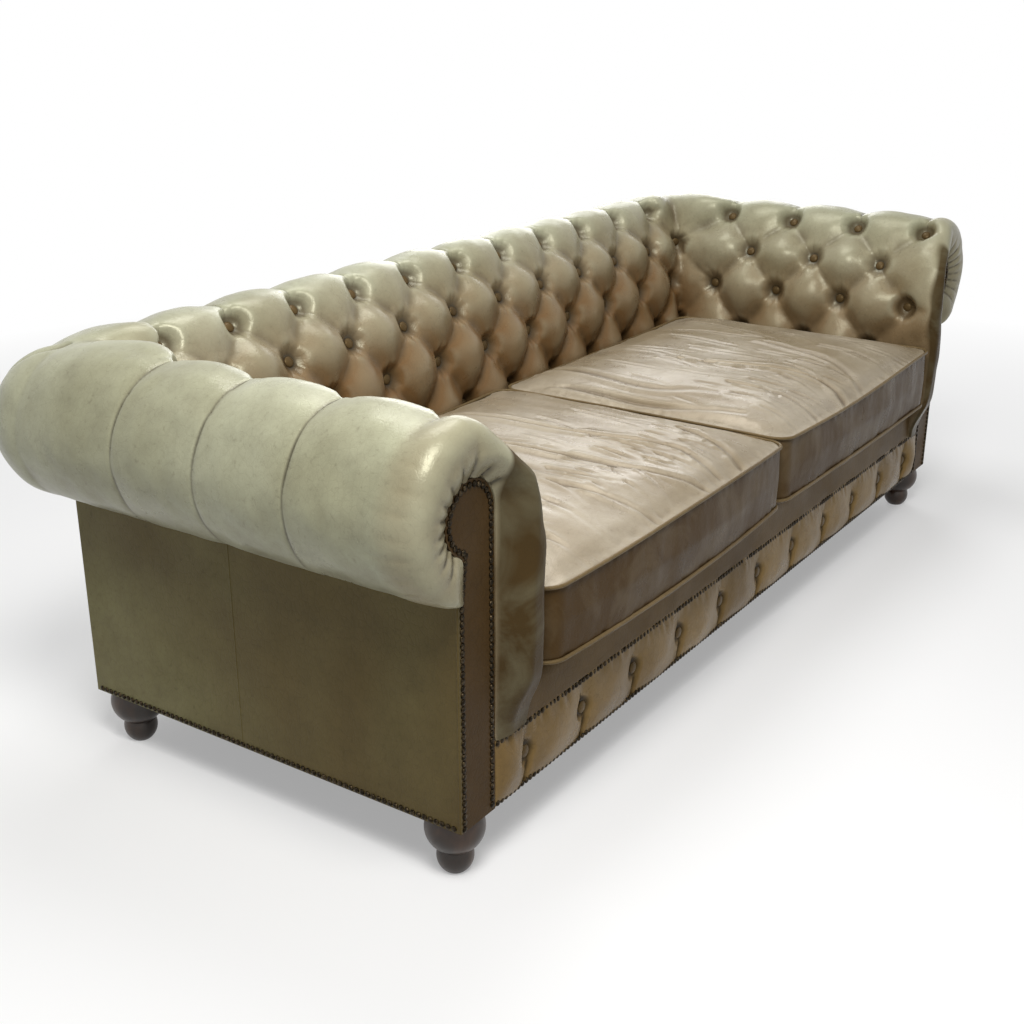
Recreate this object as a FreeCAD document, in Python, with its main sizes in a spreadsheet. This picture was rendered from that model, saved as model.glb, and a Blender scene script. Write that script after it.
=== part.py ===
# Chesterfield sofa: hardwood frame, deep-buttoned leather upholstery, two loose seat cushions
# Millimetres, +Z up, +Y to the back. Left and right are as seen from in front.
# The origin is on the floor, under the middle of the whole sofa.
import FreeCAD, Part
import itertools
import math
import os
import re

import Sketcher
from FreeCAD import Placement, Rotation, Vector

SIZES = [
    # body and frame
    ("body_width", 2150, "outer panel to outer panel"),
    ("body_depth", 846, "front of the facings to the outside back"),
    ("body_setback", 39.8, "body centre in front of the origin"),
    ("foot_height", 108, "floor to underside of the frame"),
    ("border_height", 120, "height of the base rails"),
    ("panel_thick", 5, "outside panels, leather on board"),
    ("rail_thick", 30, "base rails"),
    ("frame_reach", 80, "arm and back frames, in from the outer panel"),
    ("frame_drop", 36, "top of the arm and back frames below the centre of the roll"),
    ("top_rail_thick", 40, "top rails of arms and back"),
    ("stump_thick", 35, "front stump boards"),
    ("block_height", 60, "corner glue blocks"),
    ("block_reach", 95, "corner glue blocks along each rail"),
    ("upright_width", 45, "uprights inside arms and back"),
    ("tack_rail_height", 45, "rails that the pads are tacked to"),
    ("tack_rail_thick", 24, "rails that the pads are tacked to"),
    ("cross_rail_thick", 28, "rails under the seat, front to back"),
    # webbing and cloth
    ("web_thick", 1.6, "jute webbing"),
    ("web_width", 55, "jute webbing"),
    ("web_pitch", 170, "spacing of the seat webs"),
    ("wall_web_pitch", 230, "spacing of the arm and back webs"),
    ("cloth_thick", 1.2, "dust cover"),
    # the roll and the button rows, as insets from the outer panel and heights
    ("roll_height", 636, "centre of the roll above the floor"),
    ("roll_radius", 136, "roll at the bottom of its pleats"),
    ("roll_inset", 18, "centre of the roll in from the outer panel"),
    ("crest_puff", 15, "channels over the top of the roll"),
    ("side_puff", 2.5, "channels on the outside of the roll"),
    ("row_one_inset", 47, "buttons in from the outer panel"),
    ("row_one_rise", 104, "buttons above the centre of the roll"),
    ("row_two_inset", 113, "second row"),
    ("row_two_rise", 25, "second row"),
    ("row_three_inset", 137, "third row"),
    ("row_three_rise", -70, "third row"),
    ("row_four_inset", 139, "lowest row"),
    ("row_four_rise", -189, "lowest row"),
    ("pad_foot_inset", 172, "room side of the pads where they tuck in"),
    ("puff_rise", 38, "diamonds above their buttons"),
    ("pleat_rise", 9, "pleats above the line between two buttons"),
    ("back_pitch", 178.6, "button spacing along the back"),
    ("arm_pitch", 183, "button spacing along an arm"),
    ("arm_first", 45, "first arm button behind the front of the facing"),
    ("corner_room", 180, "least room from a top row's last button to the outer corner"),
    ("pleat_over", 4, "pleats outside their button before they drop to it"),
    ("ridge_over", 42, "channels inside the top row before they drop"),
    ("mitre_puff", 23, "cell over the mitre"),
    ("mitre_low_puff", 11, "cell under the mitre's button"),
    ("skirt_puff", 23, "lowest diamonds above their pleats"),
    ("foot_puff", 10, "short cells between the lowest diamonds"),
    ("edge_puff", 34, "plain edge at the front of the arms"),
    ("edge_cell_puff", 4, "cells beside that edge"),
    ("edge_crest", 48, "crest of that edge in from the outer panel"),
    ("front_bulge", 20, "arm pads in front of the facing"),
    ("bulge_round", 18, "rounding of that bulge"),
    ("button_ball", 16, "radius that a button's dome is turned to"),
    ("button_radius", 11, "covered buttons"),
    # facings
    ("facing_thick", 8, "facing board and leather"),
    ("facing_margin", 4, "facing beyond the stump behind it"),
    ("head_radius", 60, "round head of the facing"),
    ("head_inset", 32, "centre of the head in from the outer panel"),
    ("head_drop", 8, "centre of the head below the centre of the roll"),
    ("neck_drop", 56, "neck below the centre of the head"),
    ("shoulder_drop", 128, "straight edge's end below that centre"),
    # front border
    ("border_thick", 14, "border pad at its edges"),
    ("border_puff", 14, "border pad in front of the facings"),
    ("border_sink", 4, "border buttons behind its edges"),
    ("border_pitch", 179, "spacing of the border buttons"),
    ("border_room", 85, "least room beyond the last border button"),
    # seat
    ("deck_height", 318, "top of the deck above the floor"),
    ("lip_depth", 56, "padded lip at the front of the deck"),
    ("lip_round", 32, "rounding of the lip's top edge"),
    ("lip_proud", 4, "lip in front of the facings"),
    ("seam_height", 470, "top welt of the cushions above the floor"),
    ("welt_height", 17, "bottom welt above the deck"),
    ("cushion_crown", 22, "crown above the top welt"),
    ("cushion_overhang", 39, "cushions in front of the facings"),
    ("cushion_clear", 8, "cushions from the pads round them"),
    ("cushion_split", 6, "gap between the two cushions"),
    ("cushion_corner", 38, "corner radius seen from above"),
    ("cushion_draw", 9, "sides drawn in between corners"),
    ("cushion_tuck", 14, "bottom edge drawn in under its welt"),
    ("boxing_bulge", 2, "sides proud between the welts"),
    ("crown_reach", 210, "crown's flat middle in from the sides"),
    ("rest_gap", 0.3, "loose pieces above what they rest on"),
    ("fit_gap", 0.3, "round timber from the padding round it"),
    # feet
    ("foot_inset", 50, "foot centre in from both panels"),
    ("foot_top_radius", 42, "foot under the frame"),
    ("foot_neck_radius", 28, "foot at its neck"),
    ("foot_neck_height", 42, "neck above the floor"),
    ("foot_step", 3, "step under the wide ring"),
    ("foot_base_radius", 18, "foot on the floor"),
    ("ring_round", 45, "turned radius of the wide ring"),
    ("bun_round", 35, "turned radius of the lower bun"),
    ("stud_radius", 4, "hanger bolts of the feet"),
    ("stud_length", 34, "hanger bolts above the feet"),
    ("stud_gap", 0.2, "hanger bolts in their holes"),
]

doc = FreeCAD.newDocument("chesterfield_sofa")
sheet = doc.addObject("Spreadsheet::Sheet", "Sizes")
for row, (alias, amount, note) in enumerate(SIZES, start=1):
    sheet.set("A%d" % row, alias.replace("_", " "))
    sheet.set("B%d" % row, str(amount))
    sheet.set("C%d" % row, note)
    sheet.setAlias("B%d" % row, alias)
doc.recompute()

FRONT = "(-body_depth / 2 - body_setback)"
BACK = "(body_depth / 2 - body_setback)"
HALF = "(body_width / 2)"
BASE_TOP = "(foot_height + border_height)"
TUCK = "(foot_height + border_height + 2 * web_thick)"
FRAME_TOP = "(roll_height - frame_drop)"
SIDES = (("left", -1), ("right", 1))
pieces = []


# Expressions

def bound(text):
    """Point every size's name in an expression at its cell."""
    return re.sub(r"[a-z]+(?:_[a-z]+)+", lambda word: "Sizes." + word.group(), text)


def amount(text):
    """The number that an expression has now."""
    return float(sheet.evalExpression(bound(text)))


def keep(thing, label):
    """Register a finished sub-part under its node name."""
    thing.Label = label
    pieces.append(thing)
    return thing


def inward(side, near, far):
    """X range between two insets from the outer panel of one side."""
    if side > 0:
        return "%s - (%s)" % (HALF, far), "%s - (%s)" % (HALF, near)
    return "-%s + (%s)" % (HALF, near), "-%s + (%s)" % (HALF, far)


def box(name, across, along, up):
    """A board between two X, two Y and two Z expressions."""
    board = doc.addObject("Part::Box", name)
    for prop, axis, (low, high) in zip(("Length", "Width", "Height"), "xyz", (across, along, up)):
        board.setExpression(prop, bound("(%s) - (%s)" % (high, low)))
        board.setExpression("Placement.Base." + axis, bound(low))
    return board


def group(name, members):
    """Several like solids in one node."""
    bundle = doc.addObject("Part::Compound", name)
    bundle.Links = members
    return keep(bundle, name)


def solid_feature(name, shape):
    """A sub-part whose shape is worked out in code."""
    feature = doc.addObject("Part::Feature", name)
    feature.Shape = shape
    return keep(feature, name)


def outline(body, role, corners, arcs):
    """A closed sketch through bound corners; arcs maps a corner's index to (bulge point, radius)."""
    sketch = body.newObject("Sketcher::SketchObject", body.Name + "_outline")
    plane = [item for item in body.Origin.OriginFeatures if item.Role == role][0]
    sketch.AttachmentSupport = [(plane, "")]
    sketch.MapMode = "FlatFace"
    points = [Vector(amount(across), amount(up), 0) for across, up in corners]
    count = len(points)
    ends = []
    for index in range(count):
        start, end = points[index], points[(index + 1) % count]
        if index not in arcs:
            edge = sketch.addGeometry(Part.LineSegment(start, end), False)
            ends.append((edge, 1, 2))
            continue
        (bulge_x, bulge_y), radius = arcs[index]
        bulge = Vector(amount(bulge_x), amount(bulge_y), 0)
        turn = (bulge - start).cross(end - bulge).z
        if turn > 0:
            edge = sketch.addGeometry(Part.Arc(start, bulge, end), False)
            ends.append((edge, 1, 2))
        else:
            edge = sketch.addGeometry(Part.Arc(end, bulge, start), False)
            ends.append((edge, 2, 1))
        number = sketch.addConstraint(Sketcher.Constraint("Radius", edge, amount(radius)))
        sketch.setExpression("Constraints[%d]" % number, bound(radius))
    for index in range(count):
        edge, first, last = ends[index]
        next_edge, next_first, next_last = ends[(index + 1) % count]
        sketch.addConstraint(Sketcher.Constraint("Coincident", edge, last, next_edge, next_first))
    for index, (across, up) in enumerate(corners):
        edge, first, last = ends[index]
        for kind, text in (("DistanceX", across), ("DistanceY", up)):
            number = sketch.addConstraint(Sketcher.Constraint(kind, -1, 1, edge, first, amount(text)))
            sketch.setExpression("Constraints[%d]" % number, bound(text))
    doc.recompute()
    return sketch


# Frame of hardwood

def rails():
    """Base rails between the corner timbers."""
    level = ("foot_height", BASE_TOP)
    stump_reach = "head_inset + head_radius - facing_margin"
    keep(box("front_rail", ("-%s + %s" % (HALF, stump_reach), "%s - (%s)" % (HALF, stump_reach)),
             (FRONT + " + border_thick", FRONT + " + border_thick + rail_thick"), level), "front_rail")
    keep(box("back_rail", ("-%s + frame_reach" % HALF, "%s - frame_reach" % HALF),
             (BACK + " - panel_thick - rail_thick", BACK + " - panel_thick"), level), "back_rail")
    for word, side in SIDES:
        name = word + "_side_rail"
        keep(box(name, inward(side, "panel_thick", "panel_thick + rail_thick"),
                 (FRONT + " + facing_thick + stump_thick", BACK + " - frame_reach"), level), name)
    cross = []
    for index, share in enumerate(("-1 / 6", "1 / 6")):
        middle = "body_width * (%s)" % share
        cross.append(box("cross_rail_%d" % index,
                         (middle + " - cross_rail_thick / 2", middle + " + cross_rail_thick / 2"),
                         (FRONT + " + border_thick + rail_thick", BACK + " - panel_thick - rail_thick"),
                         ("foot_height + rail_thick", BASE_TOP)))
    group("seat_cross_rails", cross)


def foot_place(end, side):
    """X and Y of a foot's axis."""
    if end == "front":
        return "%d * (%s - foot_inset)" % (side, HALF), FRONT + " + foot_inset"
    return "%d * (%s - foot_inset)" % (side, HALF), BACK + " - foot_inset"


def drilled(name, timber, end, side):
    """Timber with the hole for a foot's hanger bolt."""
    hole = doc.addObject("Part::Cylinder", name + "_hole")
    place_x, place_y = foot_place(end, side)
    hole.setExpression("Radius", bound("stud_radius + stud_gap"))
    hole.setExpression("Height", bound("stud_length + stud_gap"))
    hole.setExpression("Placement.Base.x", bound(place_x))
    hole.setExpression("Placement.Base.y", bound(place_y))
    hole.setExpression("Placement.Base.z", bound("foot_height"))
    cut = doc.addObject("Part::Cut", name)
    cut.Base = timber
    cut.Tool = hole
    return cut


def corner_blocks():
    """Triangular glue blocks that carry the feet."""
    blocks = []
    for word, side in SIDES:
        for end, sign in (("front", 1), ("back", -1)):
            body = doc.addObject("PartDesign::Body", "%s_%s_block" % (end, word))
            corner_x = "%d * (%s - panel_thick - rail_thick)" % (side, HALF)
            reach_x = "%d * (%s - panel_thick - rail_thick - block_reach)" % (side, HALF)
            if end == "front":
                corner_y = FRONT + " + border_thick + rail_thick"
            else:
                corner_y = BACK + " - frame_reach"
            reach_y = corner_y + " + %d * block_reach" % sign
            sketch = outline(body, "XY_Plane",
                             [(corner_x, corner_y), (reach_x, corner_y), (corner_x, reach_y)], {})
            pad = body.newObject("PartDesign::Pad", body.Name + "_pad")
            pad.Profile = sketch
            pad.setExpression("Length", bound("block_height"))
            body.setExpression("Placement.Base.z", bound("foot_height"))
            if end == "front":
                blocks.append(drilled("%s_%s_drilled" % (end, word), body, end, side))
            else:
                blocks.append(body)
    group("corner_blocks", blocks)


def keyhole_corners(side, margin):
    """Corners of the facing outline, drawn in by a margin."""
    def at(inset):
        return "%d * (%s - (%s))" % (side, HALF, inset)
    radius = "(head_radius - %s)" % margin
    neck = "head_inset - sqrt(%s ^ 2 - neck_drop ^ 2 * %s ^ 2 / head_radius ^ 2)" % (radius, radius)
    neck_up = "roll_height - head_drop - neck_drop * %s / head_radius" % radius
    corners = [
        (at("panel_thick + " + margin), "foot_height"),
        (at("panel_thick + " + margin), "roll_height - head_drop - shoulder_drop"),
        (at(neck), neck_up),
        (at("head_inset + " + radius), "roll_height - head_drop"),
        (at("head_inset + " + radius), "foot_height"),
    ]
    arcs = {2: ((at("head_inset"), "roll_height - head_drop + " + radius), radius)}
    return corners, arcs


def keyhole_board(name, side, margin, near, thick):
    """A board with the facing's outline, from one depth behind the front."""
    body = doc.addObject("PartDesign::Body", name)
    corners, arcs = keyhole_corners(side, margin)
    sketch = outline(body, "XZ_Plane", corners, arcs)
    pad = body.newObject("PartDesign::Pad", name + "_pad")
    pad.Profile = sketch
    pad.setExpression("Length", bound(thick))
    body.setExpression("Placement.Base.y", bound("%s + %s + %s" % (FRONT, near, thick)))
    return keep(body, name)


def arm_and_back_frames():
    """Stumps, posts, top rails, uprights and tack rails."""
    top = ("roll_height - frame_drop - top_rail_thick", FRAME_TOP)
    behind_stump = FRONT + " + facing_thick + stump_thick"
    before_post = BACK + " - frame_reach"
    tack = (TUCK, TUCK + " + tack_rail_height")
    tall = (BASE_TOP, "roll_height - frame_drop - top_rail_thick")
    tack_far = "frame_reach"
    tack_near = "frame_reach - tack_rail_thick"
    middle = "(body_width / 2 - frame_reach)"
    for word, side in SIDES:
        keyhole_board(word + "_arm_stump", side, "facing_margin", "facing_thick", "stump_thick")
        timber = box(word + "_post_timber", inward(side, "panel_thick", "frame_reach"),
                     (before_post, BACK + " - panel_thick"), ("foot_height", FRAME_TOP))
        keep(drilled(word + "_back_post", timber, "back", side), word + "_back_post")
        name = word + "_arm_top_rail"
        keep(box(name, inward(side, "panel_thick", "frame_reach"), (behind_stump, before_post), top), name)
        name = word + "_arm_upright"
        centre = "-body_setback"
        keep(box(name, inward(side, "panel_thick", "panel_thick + rail_thick"),
                 (centre + " - upright_width / 2", centre + " + upright_width / 2"), tall), name)
        name = word + "_arm_tack_rail"
        keep(box(name, inward(side, tack_near, tack_far), (behind_stump, before_post), tack), name)
    back_line = ("-%s" % middle, middle)
    keep(box("back_top_rail", back_line, (BACK + " - frame_reach", BACK + " - panel_thick"), top),
         "back_top_rail")
    keep(box("back_tack_rail", back_line,
             (BACK + " - frame_reach", BACK + " - frame_reach + tack_rail_thick"), tack), "back_tack_rail")
    uprights = []
    for index in range(3):
        centre = "body_width * %d / 4" % (index - 1)
        uprights.append(box("back_upright_%d" % index,
                            (centre + " - upright_width / 2", centre + " + upright_width / 2"),
                            (BACK + " - panel_thick - rail_thick", BACK + " - panel_thick"), tall))
    group("back_uprights", uprights)


# Webbing and cloth

def spread(half, pitch, shift):
    """Counts of the evenly spaced webs that fit inside a half width, shifted by a share of the pitch."""
    steps = int(half // pitch) + 1
    return [step + shift for step in range(-steps, steps + 1) if abs(step + shift) * pitch <= half]


def webbing():
    """Jute webs under the seat and behind the pads."""
    webs = []
    half = amount(HALF + " - pad_foot_inset - web_width")
    for count in spread(half, amount("web_pitch"), 0.5):
        centre = "web_pitch * %s" % count
        webs.append(box("seat_web_%d" % len(webs),
                        (centre + " - web_width / 2", centre + " + web_width / 2"),
                        (FRONT + " + border_thick", BACK + " - panel_thick"),
                        (BASE_TOP, BASE_TOP + " + web_thick")))
    half = amount("body_depth / 2 - frame_reach - web_width")
    for count in spread(half, amount("web_pitch"), 0.5):
        centre = "-body_setback + web_pitch * %s" % count
        webs.append(box("seat_web_%d" % len(webs),
                        ("-%s + panel_thick" % HALF, "%s - panel_thick" % HALF),
                        (centre + " - web_width / 2", centre + " + web_width / 2"),
                        (BASE_TOP + " + web_thick", TUCK)))
    group("seat_webbing", webs)
    tall = (TUCK + " + tack_rail_height", "roll_height - frame_drop - top_rail_thick")
    for word, side in SIDES:
        strips = []
        for index in (-1, 0, 1):
            centre = "-body_setback + wall_web_pitch * %d" % index
            strips.append(box("%s_arm_web_%d" % (word, index + 1),
                              inward(side, "frame_reach - web_thick", "frame_reach"),
                              (centre + " - web_width / 2", centre + " + web_width / 2"), tall))
        group(word + "_arm_webbing", strips)
    strips = []
    half = amount(HALF + " - frame_reach - web_width")
    for count in spread(half, amount("wall_web_pitch"), 0):
        centre = "wall_web_pitch * %s" % count
        strips.append(box("back_web_%d" % len(strips),
                          (centre + " - web_width / 2", centre + " + web_width / 2"),
                          (BACK + " - frame_reach", BACK + " - frame_reach + web_thick"), tall))
    group("back_webbing", strips)


def dust_cover():
    """Thin cloth under the frame, notched round the feet."""
    level = ("foot_height - cloth_thick", "foot_height")
    cloth = box("dust_sheet", ("-%s + panel_thick + 4" % HALF, "%s - panel_thick - 4" % HALF),
                (FRONT + " + border_thick + 4", BACK + " - panel_thick - 4"), level)
    notches = []
    for word, side in SIDES:
        across = inward(side, "0", "2 * foot_inset")
        notches.append(box(word + "_front_notch", across, (FRONT, FRONT + " + 2 * foot_inset"), level))
        notches.append(box(word + "_back_notch", across, (BACK + " - 2 * foot_inset", BACK), level))
    cutter = doc.addObject("Part::MultiFuse", "foot_notches")
    cutter.Shapes = notches
    cover = doc.addObject("Part::Cut", "dust_cover")
    cover.Base = cloth
    cover.Tool = cutter
    keep(cover, "dust_cover")


# Deep-buttoned padding

def rolled_profile():
    """Bare profile of arms and back as (inset, height) points, and their outward normals."""
    rows = [Vector(0, amount("row_%s_inset" % word), amount("roll_height + row_%s_rise" % word))
            for word in ("one", "two", "three", "four")]
    foot = Vector(0, amount("pad_foot_inset"), amount("deck_height"))
    crest = Vector(0, amount("roll_inset"), amount("roll_height + roll_radius"))
    chain = [crest] + rows + [foot]
    normals = []
    for before, after in zip(chain, chain[2:]):
        run = after - before
        normals.append(Vector(0, -run.z, run.y).normalize())
    return rows, normals, foot


def roll_angles():
    """Angles round the roll from its seat on the panel to its crest."""
    start = -math.degrees(math.acos(amount("(roll_inset - panel_thick) / roll_radius")))
    return [start + (90 - start) * step / 3 for step in range(4)]


def roll_point(angle, lift):
    """A point of the roll, lifted off its pleat line."""
    radius = amount("roll_radius") + lift
    turn = math.radians(angle)
    return Vector(0, amount("roll_inset") - radius * math.cos(turn),
                  amount("roll_height") + radius * math.sin(turn))


class Quilt:
    """A closed skin of biquadratic patches that share their pleats."""

    def __init__(self, place):
        self.place = place
        self.nodes = {}
        self.normals = {}
        self.controls = {}
        self.faces = []

    def node(self, key, along, point):
        self.nodes[key] = Vector(along, point.y, point.z)

    def curve(self, first, last, control):
        self.controls[frozenset((first, last))] = control

    def valley(self, first, last, rise):
        """A pleat between two nodes, lifted along the mean of their normals."""
        middle = (self.nodes[first] + self.nodes[last]) * 0.5
        self.curve(first, last, middle + (self.normals[first] + self.normals[last]) * rise)

    def control(self, first, last):
        straight = (self.nodes[first] + self.nodes[last]) * 0.5
        return self.controls.get(frozenset((first, last)), straight)

    def patch(self, keys, rise=None, middle=None):
        """One four-sided patch; rise lifts its centre above the flat blend of its edges."""
        corners = [self.nodes[key] for key in keys]
        sides = [self.control(keys[i], keys[(i + 1) % 4]) for i in range(4)]
        if middle is None:
            middle = (sides[0] + sides[1] + sides[2] + sides[3]) * 0.5
            middle = middle - (corners[0] + corners[1] + corners[2] + corners[3]) * 0.25
        if rise is not None:
            middle = middle + rise * 4
        grid = [[corners[0], sides[0], corners[1]],
                [sides[3], middle, sides[1]],
                [corners[3], sides[2], corners[2]]]
        surface = Part.BezierSurface()
        surface.increase(2, 2)
        for i in range(3):
            for j in range(3):
                surface.setPole(i + 1, j + 1, self.place(grid[i][j]))
        self.faces.append(surface.toShape())

    def flat(self, keys):
        """One flat face whose rim runs through the keys."""
        edges = []
        for first, last in zip(keys, keys[1:] + keys[:1]):
            start, end = self.place(self.nodes[first]), self.place(self.nodes[last])
            if frozenset((first, last)) in self.controls:
                bend = Part.BezierCurve()
                bend.setPoles([start, self.place(self.control(first, last)), end])
                edges.append(bend.toShape())
            else:
                edges.append(Part.LineSegment(start, end).toShape())
        self.faces.append(Part.Face(Part.Wire(edges)))

    def solid(self):
        skin = Part.makeCompound(self.faces)
        skin.sewShape(0.01)
        body = Part.makeSolid(skin.Shells[0])
        if body.Volume < 0:
            body.reverse()
        if not skin.Shells[0].isClosed():
            raise RuntimeError("a padded skin is open")
        return body


def arc_control(angle_a, lift_a, angle_b, lift_b):
    """Control point of a quadratic that follows the roll between two angles."""
    half = math.radians(abs(angle_b - angle_a) / 2)
    radius = amount("roll_radius") + (lift_a + lift_b) / 2
    return roll_point((angle_a + angle_b) / 2, radius / math.cos(half) - amount("roll_radius"))


def at(along, point):
    return Vector(along, point.y, point.z)


def tufted(place, columns, ends, front):
    """Rolled padding with four staggered button rows; returns its solid and its button places.

    columns are the places of the top row's buttons, ends gives the mitre's place along the
    pad for an inset at its far end, and front is None or the place where the bulge begins.
    A pad with no front has a mitre, mirrored, at its near end too.
    """
    rows, normals, foot = rolled_profile()
    angles = roll_angles()
    crest_puff, side_puff = amount("crest_puff"), amount("side_puff")
    lifts = [0, side_puff * 0.7, side_puff * 1.4, crest_puff]
    quilt = Quilt(place)
    count = len(columns)
    between = [(a + b) / 2 for a, b in zip(columns, columns[1:])]
    puff, pleat = amount("puff_rise"), amount("pleat_rise")

    for i, along in enumerate(columns):
        for level, angle in enumerate(angles):
            quilt.node(("pleat", level, i), along, roll_point(angle, 0))
        quilt.node(("row", 1, i), along, rows[0])
        quilt.node(("row", 3, i), along, rows[2])
        quilt.node(("foot", i), along, foot)
        for level in range(3):
            bend = arc_control(angles[level], 0, angles[level + 1], 0)
            quilt.curve(("pleat", level, i), ("pleat", level + 1, i), at(along, bend))
        over = Vector(0, rows[0].y - amount("pleat_over"), amount("roll_height + roll_radius"))
        quilt.curve(("pleat", 3, i), ("row", 1, i), at(along, over))
    for i, along in enumerate(between):
        for level, angle in enumerate(angles):
            quilt.node(("ridge", level, i), along, roll_point(angle, lifts[level]))
        quilt.node(("row", 2, i), along, rows[1])
        quilt.node(("row", 4, i), along, rows[3])
        quilt.node(("foot_between", i), along, foot)
        for level in range(3):
            bend = arc_control(angles[level], lifts[level], angles[level + 1], lifts[level + 1])
            quilt.curve(("ridge", level, i), ("ridge", level + 1, i), at(along, bend))
        brow = ridge_brow(rows, crest_puff)
        quilt.curve(("ridge", 3, i), ("row", 2, i), at(along, brow))

    for key in quilt.nodes:
        if key[0] == "row":
            quilt.normals[key] = normals[key[1] - 1]
        elif key[0] in ("foot", "foot_between"):
            quilt.normals[key] = normals[3]

    def valley(first, last):
        quilt.valley(first, last, pleat)

    def channel(pleat_key, ridge_key, quarter):
        """Patches over the roll between a pleat and the ridge or edge beside it."""
        for level in range(4):
            shape = quilt.nodes[ridge_key(level)]
            quilt.curve(pleat_key(level), ridge_key(level), at(quarter, shape))
        for level in range(3):
            rim = quilt.control(ridge_key(level), ridge_key(level + 1))
            quilt.patch([pleat_key(level), pleat_key(level + 1), ridge_key(level + 1), ridge_key(level)],
                        middle=at(quarter, rim))

    # channels over the roll and the cells under the crest
    for i, along in enumerate(between):
        for neighbour in (i, i + 1):
            quarter = (along + columns[neighbour]) / 2
            channel(lambda level, n=neighbour: ("pleat", level, n), lambda level, n=i: ("ridge", level, n),
                    quarter)
            valley(("row", 1, neighbour), ("row", 2, i))
            brow = quilt.control(("ridge", 3, i), ("row", 2, i))
            quilt.patch([("pleat", 3, neighbour), ("row", 1, neighbour), ("row", 2, i), ("ridge", 3, i)],
                        middle=at(quarter, brow))

    # diamonds
    def diamond(top, left, bottom, right, normal):
        for first, last in ((top, left), (top, right), (left, bottom), (bottom, right)):
            valley(first, last)
        quilt.patch([top, left, bottom, right], rise=normal * (puff - pleat))

    for i in range(count - 1):
        diamond(("row", 2, i), ("row", 3, i), ("row", 4, i), ("row", 3, i + 1), normals[2])
    for i in range(1, count - 1):
        diamond(("row", 1, i), ("row", 2, i - 1), ("row", 3, i), ("row", 2, i), normals[1])
        skirt(quilt, ("row", 3, i), ("row", 4, i - 1), ("foot", i), ("row", 4, i), normals[3])

    first_foot = 0 if front is None else 1
    for i in range(first_foot, count - 1):
        quilt.valley(("foot", i), ("row", 4, i), pleat / 2)
        quilt.valley(("row", 4, i), ("foot", i + 1), pleat / 2)
        quilt.patch([("foot", i), ("row", 4, i), ("foot", i + 1), ("foot_between", i)],
                    rise=normals[3] * amount("foot_puff"))

    # mitred ends
    mitres = [("far", 1, count - 1, count - 2)]
    if front is None:
        mitres.append(("near", -1, 0, 0))
    for word, sign, last, last_between in mitres:
        slant = [normal - Vector(sign * normal.y, 0, 0) for normal in normals]
        for level, angle in enumerate(angles):
            point = roll_point(angle, 0)
            quilt.node((word, level), sign * ends(amount("roll_inset")), point)
            if level:
                bend = arc_control(angles[level - 1], 0, angle, 0)
                quilt.curve((word, level - 1), (word, level), at(sign * ends(amount("roll_inset")), bend))
        three = rows[2] + normals[2] * pleat
        for name, point, normal in (("two", rows[1], normals[1]), ("three", three, normals[2]),
                                    ("four", rows[3], normals[3]), ("foot", foot, normals[3]),
                                    ("sill", Vector(0, foot.y, amount(TUCK)), normals[3])):
            quilt.node((word, name), sign * ends(point.y), point)
            quilt.normals[(word, name)] = normal
        over = Vector(0, (rows[0].y + rows[1].y) / 2, amount("roll_height + roll_radius"))
        quilt.curve((word, 3), (word, "two"), at(sign * ends(over.y), over))
        quarter = (columns[last] + sign * ends(amount("roll_inset"))) / 2
        channel(lambda level, n=last: ("pleat", level, n), lambda level, w=word: (w, level), quarter)
        for level in (1, 2, 3):
            crown = (quilt.nodes[("pleat", level, last)] + quilt.nodes[(word, level)]) * 0.5
            lifted = roll_point(angles[level], 2 * lifts[level])
            quilt.curve(("pleat", level, last), (word, level), at(crown.x, lifted))
        quilt.faces = quilt.faces[:-3]
        for level in range(3):
            bend = arc_control(angles[level], 2 * lifts[level], angles[level + 1], 2 * lifts[level + 1])
            quilt.patch([("pleat", level, last), ("pleat", level + 1, last), (word, level + 1), (word, level)],
                        middle=at(quarter, bend))
        valley(("row", 1, last), (word, "two"))
        quilt.patch([("pleat", 3, last), ("row", 1, last), (word, "two"), (word, 3)],
                    rise=slant[0] * amount("mitre_puff"))
        diamond(("row", 1, last), ("row", 2, last_between), ("row", 3, last), (word, "two"), slant[1])
        valley(("row", 3, last), (word, "four"))
        quilt.patch([(word, "two"), ("row", 3, last), (word, "four"), (word, "three")],
                    rise=slant[2] * amount("mitre_low_puff"))
        skirt(quilt, ("row", 3, last), ("row", 4, last_between), ("foot", last), (word, "four"), slant[3])
        quilt.node((word, "hem"), (quilt.nodes[("foot", last)].x + quilt.nodes[(word, "foot")].x) / 2, foot)
        quilt.patch([("foot", last), (word, "four"), (word, "foot"), (word, "hem")])

    ring = []
    if front is not None:
        ring = front_bulge(quilt, front, rows, normals, foot, angles, lifts, valley)
    close_back(quilt, columns, ends, front, ring)
    return quilt.solid(), button_places(quilt, count, normals, front is None)


def ridge_brow(rows, crest_puff):
    """Control point that carries a channel's ridge over the crest and down to its button."""
    return Vector(0, rows[0].y + amount("ridge_over"), amount("roll_height + roll_radius") + crest_puff)


def skirt(quilt, top, left, bottom, right, normal):
    """A lowest diamond, whose bottom corner is on the tuck line."""
    for corner in (left, right):
        quilt.valley(top, corner, amount("pleat_rise"))
        quilt.valley(corner, bottom, amount("pleat_rise") / 2)
    quilt.patch([top, left, bottom, right], rise=normal * amount("skirt_puff"))


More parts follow.
